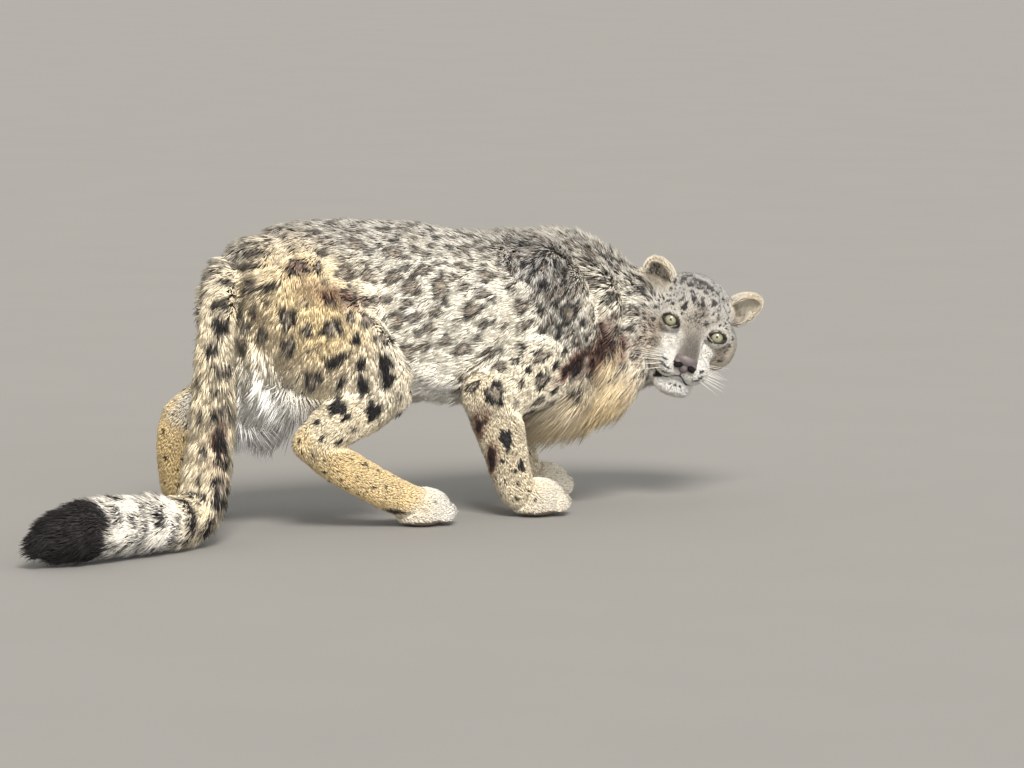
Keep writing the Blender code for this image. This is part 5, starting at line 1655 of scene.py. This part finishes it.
middle_marks_and_shade, tuft_pale = coloured(middle * 0.8 + tip * 0.2)
tip_marks_and_shade, _ = coloured(middle * 0.2 + tip * 0.8)
tuft_ground = at_roots(ground)
tuft_ground[:, 2] = np.maximum(tuft_ground[:, 2], tuft_pale * 0.7)
tuft_luck = tufts_rng.random(len(chosen))

# %% [markdown]
# ### A map for baking
# A material can be painted into an image through a UV map. A tuft only needs one small patch of that
# image, at the place of its root. Each part of the body is unrolled round its own guide line like the
# peel of a stick: across the image goes the angle round the line, and up goes the way along it.

# %% Unroll the skin round the guide lines
PATCH = 0.003
PIECES = {
    "coat_head_right": "grey_fur", "coat_head_left": "grey_fur", "coat_neck": "grey_fur",
    "coat_chest": "cream_fur", "coat_loin": "cream_fur", "coat_rump": "cream_fur",
    "coat_tail_upper": "ringed_fur", "coat_tail_lower": "ringed_fur", "coat_tail_tip": "black_fur",
    "coat_right_hind": "cream_fur", "coat_left_hind": "cream_fur",
    "coat_right_fore": "cream_fur", "coat_left_fore": "cream_fur",
}
CHEST_FROM, RUMP_FROM = 0.095, -0.150
TAIL_PARTS = (0.30, 0.84)


def piece_of_tuft(main, run):
    """The coat piece that each tuft belongs to."""
    owner = np.array([line["piece"] for line in GUIDES])[main]
    names = np.char.add("coat_", owner.astype("U20"))
    names[owner == "trunk"] = "coat_loin"
    names[(owner == "trunk") & (root[:, 0] > CHEST_FROM)] = "coat_chest"
    names[(owner == "trunk") & (root[:, 0] < RUMP_FROM)] = "coat_rump"
    on_right = in_head(root)[owner == "head", 1] < 0
    names[owner == "head"] = np.where(on_right, "coat_head_right", "coat_head_left")
    names[owner == "tail"] = "coat_tail_upper"
    names[(owner == "tail") & (run > TAIL_PARTS[0])] = "coat_tail_lower"
    names[(owner == "tail") & (run > TAIL_PARTS[1])] = "coat_tail_tip"
    return names


def unrolled(main):
    """Angle round the nearest guide line and the way along it, both from 0 to 1."""
    across, along = np.zeros(len(root)), np.zeros(len(root))
    for k, line in enumerate(GUIDES):
        mine = main == k
        which = tuft_fields["samples"][k][mine]
        offset = root[mine] - line["at"][which]
        step = (offset * line["along"][which]).sum(axis=1)
        whole = np.linalg.norm(np.diff(line["at"], axis=0), axis=1).sum()
        along[mine] = line["run"][which] + step / whole
        deep, wide = (offset * line["deep"][which]).sum(axis=1), (offset * line["wide"][which]).sum(axis=1)
        across[mine] = np.arctan2(deep, wide) / (2 * math.pi) + 0.5
    return across, along


def fitted_map(main, names, across, along):
    """The unrolled places, with the parts of one piece above each other in its image."""
    uv = np.zeros((len(root), 2))
    for name in PIECES:
        mine = names == name
        parts = sorted(set(main[mine]))
        for row, part in enumerate(parts):
            these = mine & (main == part)
            low, high = along[these].min(), along[these].max()
            left, right = across[these].min(), across[these].max()
            uv[these, 1] = (row + 0.02 + 0.96 * (along[these] - low) / max(high - low, 1e-6)) / len(parts)
            uv[these, 0] = 0.01 + 0.98 * (across[these] - left) / max(right - left, 1e-6)
    return uv


main_guide = tuft_fields["weights"].argmax(axis=0)
across, along = unrolled(main_guide)
tuft_piece = piece_of_tuft(main_guide, along)
tuft_uv = fitted_map(main_guide, tuft_piece, across, along)

# %% [markdown]
# ### Coat pieces
# All tufts of one part of the body are one mesh, written straight from arrays, because a quarter of a
# million objects would be far too slow. Each tuft has five corners and six faces, and its faces fill one
# patch of the map.

# %% Build the coat pieces
# Corners of one tuft: the root is 0, three round the middle are 1 to 3, the tip is 4
TUFT_FACES = [(1, 2, 0), (2, 3, 0), (3, 1, 0), (2, 1, 4), (3, 2, 4), (1, 3, 4)]
CORNERS = 5
SECTION = ((-0.5, -0.1), (0.5, -0.1), (0.0, 0.22))
# Place of each face corner inside the tuft's patch of the map
PATCH_PLACES = []
for column in range(3):
    PATCH_PLACES += [(column / 3, 0.5), ((column + 1) / 3, 0.5), ((column + 0.5) / 3, 0.0)]
for column in range(3):
    PATCH_PLACES += [((column + 1) / 3, 0.5), (column / 3, 0.5), ((column + 0.5) / 3, 1.0)]


def tuft_corners(mine):
    """Five points for each tuft."""
    size = width[mine][:, None]
    corners = [root[mine] - normal[mine] * 1.5 * MM]
    for aside, outward in SECTION:
        corners.append(middle[mine] + (side[mine] * aside + upward[mine] * outward) * size)
    corners.append(tip[mine])
    return np.stack(corners, axis=1)


def coat_piece(name):
    """One joined mesh of all tufts of a piece."""
    mine = np.flatnonzero(tuft_piece == name)
    count = len(mine)
    corners = tuft_corners(mine)
    corners[..., 2] = np.maximum(corners[..., 2], FLOOR_CLEAR)
    mesh = bpy.data.meshes.new(name)
    mesh.vertices.add(count * CORNERS)
    mesh.vertices.foreach_set("co", corners.astype(np.float32).ravel())
    pattern = np.array([corner for face in TUFT_FACES for corner in face])
    loops = (np.arange(count)[:, None] * CORNERS + pattern).ravel()
    mesh.loops.add(len(loops))
    mesh.loops.foreach_set("vertex_index", loops.astype(np.int32))
    mesh.polygons.add(count * len(TUFT_FACES))
    mesh.polygons.foreach_set("loop_start", np.arange(0, len(loops), 3, dtype=np.int32))
    mesh.update(calc_edges=True)
    patch = (np.array(PATCH_PLACES) - 0.5) * PATCH
    places = tuft_uv[mine][:, None, :] + patch[None]
    mesh.uv_layers.new(name="OFBake").data.foreach_set("uv", places.astype(np.float32).ravel())
    colour_attribute(mesh, "coat_ground", np.repeat(tuft_ground[mine], CORNERS, axis=0))
    marked_and_shaded = np.repeat(middle_marks_and_shade[mine][:, None], CORNERS, axis=1)
    marked_and_shaded[:, CORNERS - 1] = tip_marks_and_shade[mine]
    colour_attribute(mesh, "coat_marks_and_shade", marked_and_shaded.reshape(-1, 3))
    strand = np.zeros((count, CORNERS, 2))
    strand[:, 1:4, 0], strand[:, 4, 0] = 0.5, 1.0
    strand[..., 1] = tuft_luck[mine][:, None]
    colour_attribute(mesh, "coat_strand", strand.reshape(-1, 2))
    mesh.shade_smooth()
    in_frame(name, mesh, GUARD_HAIR)
    return count


for name, slot in PIECES.items():
    print(name, coat_piece(name), "tufts")

# %% [markdown]
# ## Eyes
# The eyes are pale green with small round pupils. The eyeball is a ball with a bulge in front, the
# cornea, and it shines because it is wet. Iris, pupil and the dark rim are rings round the eye's own
# axis.

# %% Eyes
IRIS_RADIUS = 11.0 * MM
PUPIL_RADIUS = 1.9 * MM
IRIS_INNER = "#77755A"
IRIS_OUTER = "#A5A182"
IRIS_EDGE = "#474E38"
PUPIL = "#060505"
LID_SHADE = "#1E1D15"
RIM = "#1B1613"
EYE_IOR = 1.376


def wet_iris():
    """A moist cornea over a pale green iris with fine threads that run out from the pupil."""
    material, tree, shader = material_with("moist_iris", 0.12, EYE_IOR)
    place = node(tree, "TexCoord").outputs["Object"]
    axes = node(tree, "SeparateXYZ", [("Vector", place)]).outputs
    flat = node(tree, "CombineXYZ", [("Y", axes[1]), ("Z", axes[2])]).outputs[0]
    radius = node(tree, "VectorMath", [(0, flat)], operation="LENGTH").outputs["Value"]
    turn = node(tree, "Math", [(0, axes[2]), (1, axes[1])], operation="ARCTAN2").outputs[0]
    round_way = node(tree, "CombineXYZ", [("X", turn)]).outputs[0]
    threads = node(tree, "TexNoise", [("Vector", round_way), ("Scale", 14.0), ("Detail", 3.0)]).outputs["Fac"]
    colour = mix_colours(tree, threads, linear(IRIS_INNER), linear(IRIS_OUTER))
    span = [("Value", radius), ("From Min", 0.007), ("From Max", IRIS_RADIUS)]
    out = node(tree, "MapRange", span).outputs[0]
    colour = mix_colours(tree, out, colour, linear(IRIS_EDGE))
    rim = node(tree, "MapRange", [
        ("Value", radius), ("From Min", IRIS_RADIUS - 0.0009), ("From Max", IRIS_RADIUS),
    ]).outputs[0]
    colour = mix_colours(tree, rim, colour, linear(RIM))
    pupil = node(tree, "MapRange", [
        ("Value", radius), ("From Min", PUPIL_RADIUS + 0.0004), ("From Max", PUPIL_RADIUS - 0.0002),
    ]).outputs[0]
    colour = mix_colours(tree, pupil, colour, linear(PUPIL))
    # Painted shadow of the upper lid over the top of the iris
    painted_lid_shadow = node(tree, "MapRange", [
        ("Value", axes[2]), ("From Min", 0.000), ("From Max", 0.009), ("To Max", 0.75),
    ]).outputs[0]
    colour = mix_colours(tree, painted_lid_shadow, colour, linear(LID_SHADE))
    tree.links.new(colour, shader.inputs["Base Color"])
    shader.inputs["Coat Weight"].default_value = 0.8
    shader.inputs["Coat Roughness"].default_value = 0.04
    return material


def eye_object(side, material):
    """A ball with a low dome in front, turned to look at the camera."""
    shell = bmesh.new()
    bmesh.ops.create_uvsphere(shell, u_segments=48, v_segments=32, radius=EYE_RADIUS - 0.0001)
    turn = Matrix.Rotation(math.pi / 2, 4, "Y")
    bmesh.ops.transform(shell, matrix=turn, verts=shell.verts)
    for vertex in shell.verts:
        off_axis = math.hypot(vertex.co.y, vertex.co.z)
        if vertex.co.x > 0 and off_axis < IRIS_RADIUS:
            vertex.co.x += 0.0011 * (1 - (off_axis / IRIS_RADIUS) ** 2)
    mesh = mesh_from(side + "_eye_ball", shell)
    mesh.materials.append(material)
    mesh.shade_smooth()
    thing = object_from(side + "_eyeball", mesh)
    gaze = (EYE_OF_CAMERA - EYES[side]).normalized()
    thing.matrix_world = facing(EYES[side] + SHIFT, gaze)
    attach(thing, "root")
    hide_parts(side + "_eye")


IRIS = wet_iris()
for side in SIDES:
    eye_object(side, IRIS)

# %% [markdown]
# ## Bare skin of the face
# The rims of the lids, the lips and the nose have no hair. They are dark, slightly moist leather. Lids
# and lips are thin closed tubes that follow the edge of the opening. The nose is a broad wedge with a
# comma-shaped nostril at each side.

# %% Dark rims and lips
def tube(path, radii, closed, sides=10):
    """A closed mesh tube along a path; a closed path makes a ring."""
    shell = bmesh.new()
    count = len(path)
    loops = []
    for k, centre in enumerate(path):
        before = path[(k - 1) % count] if closed else path[max(k - 1, 0)]
        after = path[(k + 1) % count] if closed else path[min(k + 1, count - 1)]
        along = (after - before).normalized()
        wide = along.orthogonal() if not loops else wide - along * wide.dot(along)
        wide.normalize()
        deep = along.cross(wide)
        loops.append([
            shell.verts.new(centre + (wide * math.cos(a) + deep * math.sin(a)) * radii[k])
            for a in (2 * math.pi * j / sides for j in range(sides))
        ])
    for k in range(count if closed else count - 1):
        lower, upper = loops[k], loops[(k + 1) % count]
        for j in range(sides):
            shell.faces.new((lower[j], lower[(j + 1) % sides], upper[(j + 1) % sides], upper[j]))
    if not closed:
        shell.faces.new(loops[0][::-1])
        shell.faces.new(loops[-1])
    return shell


def moist_leather(name, colour, patch, grain, roughness):
    """Bare pebbled skin with a thin film of moisture."""
    material, tree, shader = material_with(name, roughness, 1.40)
    place = node(tree, "TexCoord").outputs["Object"]
    pebbles = node(tree, "TexVoronoi", [("Vector", place), ("Scale", 1 / grain)]).outputs["Distance"]
    patches = node(tree, "TexNoise", [("Vector", place), ("Scale", 90.0), ("Detail", 4.0)]).outputs["Fac"]
    shade = mix_colours(tree, patches, linear(colour), linear(patch))
    tree.links.new(shade, shader.inputs["Base Color"])
    bump = node(tree, "Bump", [("Strength", 0.4), ("Distance", 0.0004), ("Height", pebbles)]).outputs[0]
    tree.links.new(bump, shader.inputs["Normal"])
    return material


RIM_SKIN = moist_leather("moist_black_skin", "#14100F", "#241C1A", 0.8 * MM, 0.48)
for side, sign in SIDES.items():
    ring = almond_ring(sign)
    centre = sum(ring, Vector()) / len(ring)
    inward = (HEAD.to_3x3() @ Vector((0, -sign, -0.35))).normalized()
    radii = []
    for point in ring:
        corner = (point - centre).normalized().dot(inward)
        radii.append(0.0011 + 0.0034 * max(0.0, corner) ** 4 + 0.0020 * max(0.0, -corner) ** 6)
    mesh = mesh_from(side + "_lid_rim", tube(ring, radii, True))
    mesh.shade_smooth()
    in_frame(side + "_lid_rim", mesh, RIM_SKIN)

HIDE_TREE = ray_tree(hide, -SHIFT)


def on_face(origin, way):
    """Where a line in the head's axes meets the skin."""
    start = HEAD @ Vector(origin)
    hit, hit_normal, _, _ = HIDE_TREE.ray_cast(start, (HEAD.to_3x3() @ Vector(way)).normalized())
    return hit, hit_normal


def on_muzzle(y, z):
    """The point of the skin in front of y and z in the head's axes, seen along a fan of lines."""
    angle = math.radians(abs(y) / MOUTH_HALF * 55) * (1 if y > 0 else -1)
    way = Vector((math.cos(angle), math.sin(angle), 0))
    hit, _ = on_face(Vector((0.060, y * 0.55, z)) + way * 0.12, -way)
    return hit


def lip_tube(name, line, thickness):
    """A dark moist line between two lips, thinner at its ends."""
    path = [hit for hit in (on_muzzle(y, z) for y, z in line) if hit is not None]
    swell = [math.sin(math.pi * (k + 0.5) / len(path)) ** 0.5 for k in range(len(path))]
    radii = [thickness * (0.45 + 0.55 * share) for share in swell]
    mesh = mesh_from(name, tube(path, radii, False))
    mesh.shade_smooth()
    in_frame(name, mesh, RIM_SKIN)


lip_tube("lips", mouth_curve(), 1.3 * MM)
lip_tube("philtrum", [(0, -0.050 - 0.002 * k) for k in range(6)], 1.1 * MM)

# %% [markdown]
# ### Nose
# The nose leather is bare, pebbled like fine leather and a little moist, so it shines softly. Balls
# melted together give its pad, and the nostrils are cut out as commas and lined with a nearly black sheet,
# painted shade deep in the openings.

# %% Nose
NOSE_LEATHER = moist_leather("pebbled_nose_leather", "#7B7271", "#463C3B", 1.1 * MM, 0.42)


NOSTRIL = (0.0095, 0.0080, 0.0056)


def nostril(shell, sign, share, sunk):
    """A comma-shaped opening, wide in front and bent down to the side."""
    turn = HEAD_TURN @ Matrix.Rotation(sign * math.radians(-30), 4, "X")
    centre = Vector((0.1085 - sunk, sign * 0.0120, -0.0400))
    ball(shell, HEAD @ centre, [radius * share for radius in NOSTRIL], turn, 4)
    tail = Vector((0.1010 - sunk, sign * 0.0180, -0.0390))
    ball(shell, HEAD @ tail, (0.008 * share, 0.0066 * share, 0.0038 * share), turn, 3)


def nose_mesh():
    shell = bmesh.new()
    ball(shell, HEAD @ Vector((0.0985, 0, -0.030)), (0.0150, 0.0198, 0.0135), HEAD_TURN, 4)
    ball(shell, HEAD @ Vector((0.1010, 0, -0.0435)), (0.0110, 0.0085, 0.0105), HEAD_TURN, 4)
    for sign in SIDES.values():
        ball(shell, HEAD @ Vector((0.0980, sign * 0.0115, -0.0365)), (0.0130, 0.0098, 0.0100), HEAD_TURN, 4)
    nose = melted(shell, 0.9 * MM, 5)
    for sign in SIDES.values():
        pit = bmesh.new()
        nostril(pit, sign, 1.0, 0.0)
        nose = combined(nose, melted(pit, 0.5 * MM, 2), "DIFFERENCE")
    return nose


# A nearly black sheet sunk in each nostril, painted shade deep in the openings
lining = bmesh.new()
for sign in SIDES.values():
    nostril(lining, sign, 1.04, 0.0045)
nostril_shade_material = moist_leather("painted_nostril_shade", "#060404", "#0A0706", 1.0 * MM, 0.9)
mesh = mesh_from("nostril_lining", lining)
mesh.shade_smooth()
in_frame("nostril_lining", mesh, nostril_shade_material)
mesh = nose_mesh()
mesh.shade_smooth()
nose = in_frame("nose_leather", mesh, NOSE_LEATHER)
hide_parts("nose")

# %% [markdown]
# ## Whiskers
# A cat's whiskers are thick white bristles in rows on the pads. They are 0.9 mm thick at the root here, a
# little more than real ones, so that a render of this size still shows them. Each curves back and down to
# a fine tip.

# %% Whiskers
whisker_rng = np.random.default_rng(12)
WHISKER_ROOT = 0.45 * MM


def whisker(sign, row, column):
    """One bristle as points and radii, or None where its line misses the pad."""
    hit, hit_normal = on_face((0.098 - 0.010 * column, sign * 0.12, -0.034 - 0.0075 * row), (0, -sign, 0))
    if hit is None:
        return None
    rise = (0.12 if sign > 0 else -0.06) - 0.09 * row + whisker_rng.uniform(-0.08, 0.08)
    local_way = Vector((0.35 - 0.18 * column, sign, rise))
    way = (HEAD.to_3x3() @ local_way).normalized()
    length = whisker_rng.uniform(0.030, 0.048) if sign > 0 else whisker_rng.uniform(0.042, 0.070)
    sag = (HEAD.to_3x3() @ Vector((-0.5, 0, -0.15))) * length * whisker_rng.uniform(0.3, 0.6)
    steps = [k / 9 for k in range(10)]
    path = [hit - hit_normal * 0.001 + way * length * t + sag * t * t for t in steps]
    return path, [WHISKER_ROOT * (1 - 0.85 * t) for t in steps]


def bristle():
    """Stiff white keratin, smooth and a little glossy."""
    material, tree, shader = material_with("white_bristle", 0.35, HAIR_IOR)
    place = node(tree, "TexCoord").outputs["Object"]
    spots = node(tree, "TexNoise", [("Vector", place), ("Scale", 60.0)]).outputs["Fac"]
    colour = mix_colours(tree, spots, linear("#F4F1EA"), linear("#DAD4C8"))
    tree.links.new(colour, shader.inputs["Base Color"])
    return material


shell = bmesh.new()
for sign in SIDES.values():
    for row in range(4):
        for column in range(4):
            found = whisker(sign, row, column)
            if found:
                part = mesh_from("part", tube(*found, False, sides=6))
                shell.from_mesh(part)
mesh = mesh_from("whiskers", shell)
mesh.shade_smooth()
in_frame("whiskers", mesh, bristle())

# %% [markdown]
# ## Floor and light
# A plain pale floor and wide soft lights, as in a studio: one large key light above and in front, a
# weaker, wider fill low in front, and a little light from all round.

# %% Floor, lights and world
def matte_floor():
    material, tree, shader = material_with("matte_paper_floor", 0.9)
    place = node(tree, "TexCoord").outputs["Object"]
    grain = node(tree, "TexNoise", [("Vector", place), ("Scale", 3.0), ("Detail", 3.0)]).outputs["Fac"]
    colour = mix_colours(tree, grain, linear("#85837F"), linear("#817F7B"))
    tree.links.new(colour, shader.inputs["Base Color"])
    return material


shell = bmesh.new()
bmesh.ops.create_grid(shell, x_segments=2, y_segments=2, size=80)
floor_mesh = mesh_from("floor", shell)
floor_mesh.materials.append(matte_floor())
floor = object_from("floor", floor_mesh)


def sun_light(name, place, power, angle, colour):
    """Light from far away: place is the way towards it, angle how wide it looks."""
    lamp = bpy.data.lights.new(name, "SUN")
    lamp.energy = power
    lamp.angle = math.radians(angle)
    lamp.color = linear(colour)[:3]
    thing = object_from(name, lamp)
    thing.rotation_mode = "QUATERNION"
    thing.rotation_quaternion = (-Vector(place)).to_track_quat("-Z", "Y")


sun_light("key", (-0.9, -2.4, 2.4), 4.3, 20, "#FFFAF3")
sun_light("fill", (-0.4, -2.8, 0.5), 1.7, 50, "#F4F6FF")
world = bpy.data.worlds.new("soft_room")
bpy.context.scene.world = world
world.use_nodes = True
world.node_tree.nodes["Background"].inputs["Color"].default_value = linear("#E6E5E2")
world.node_tree.nodes["Background"].inputs["Strength"].default_value = 1.0
bpy.context.scene.view_settings.view_transform = "Standard"
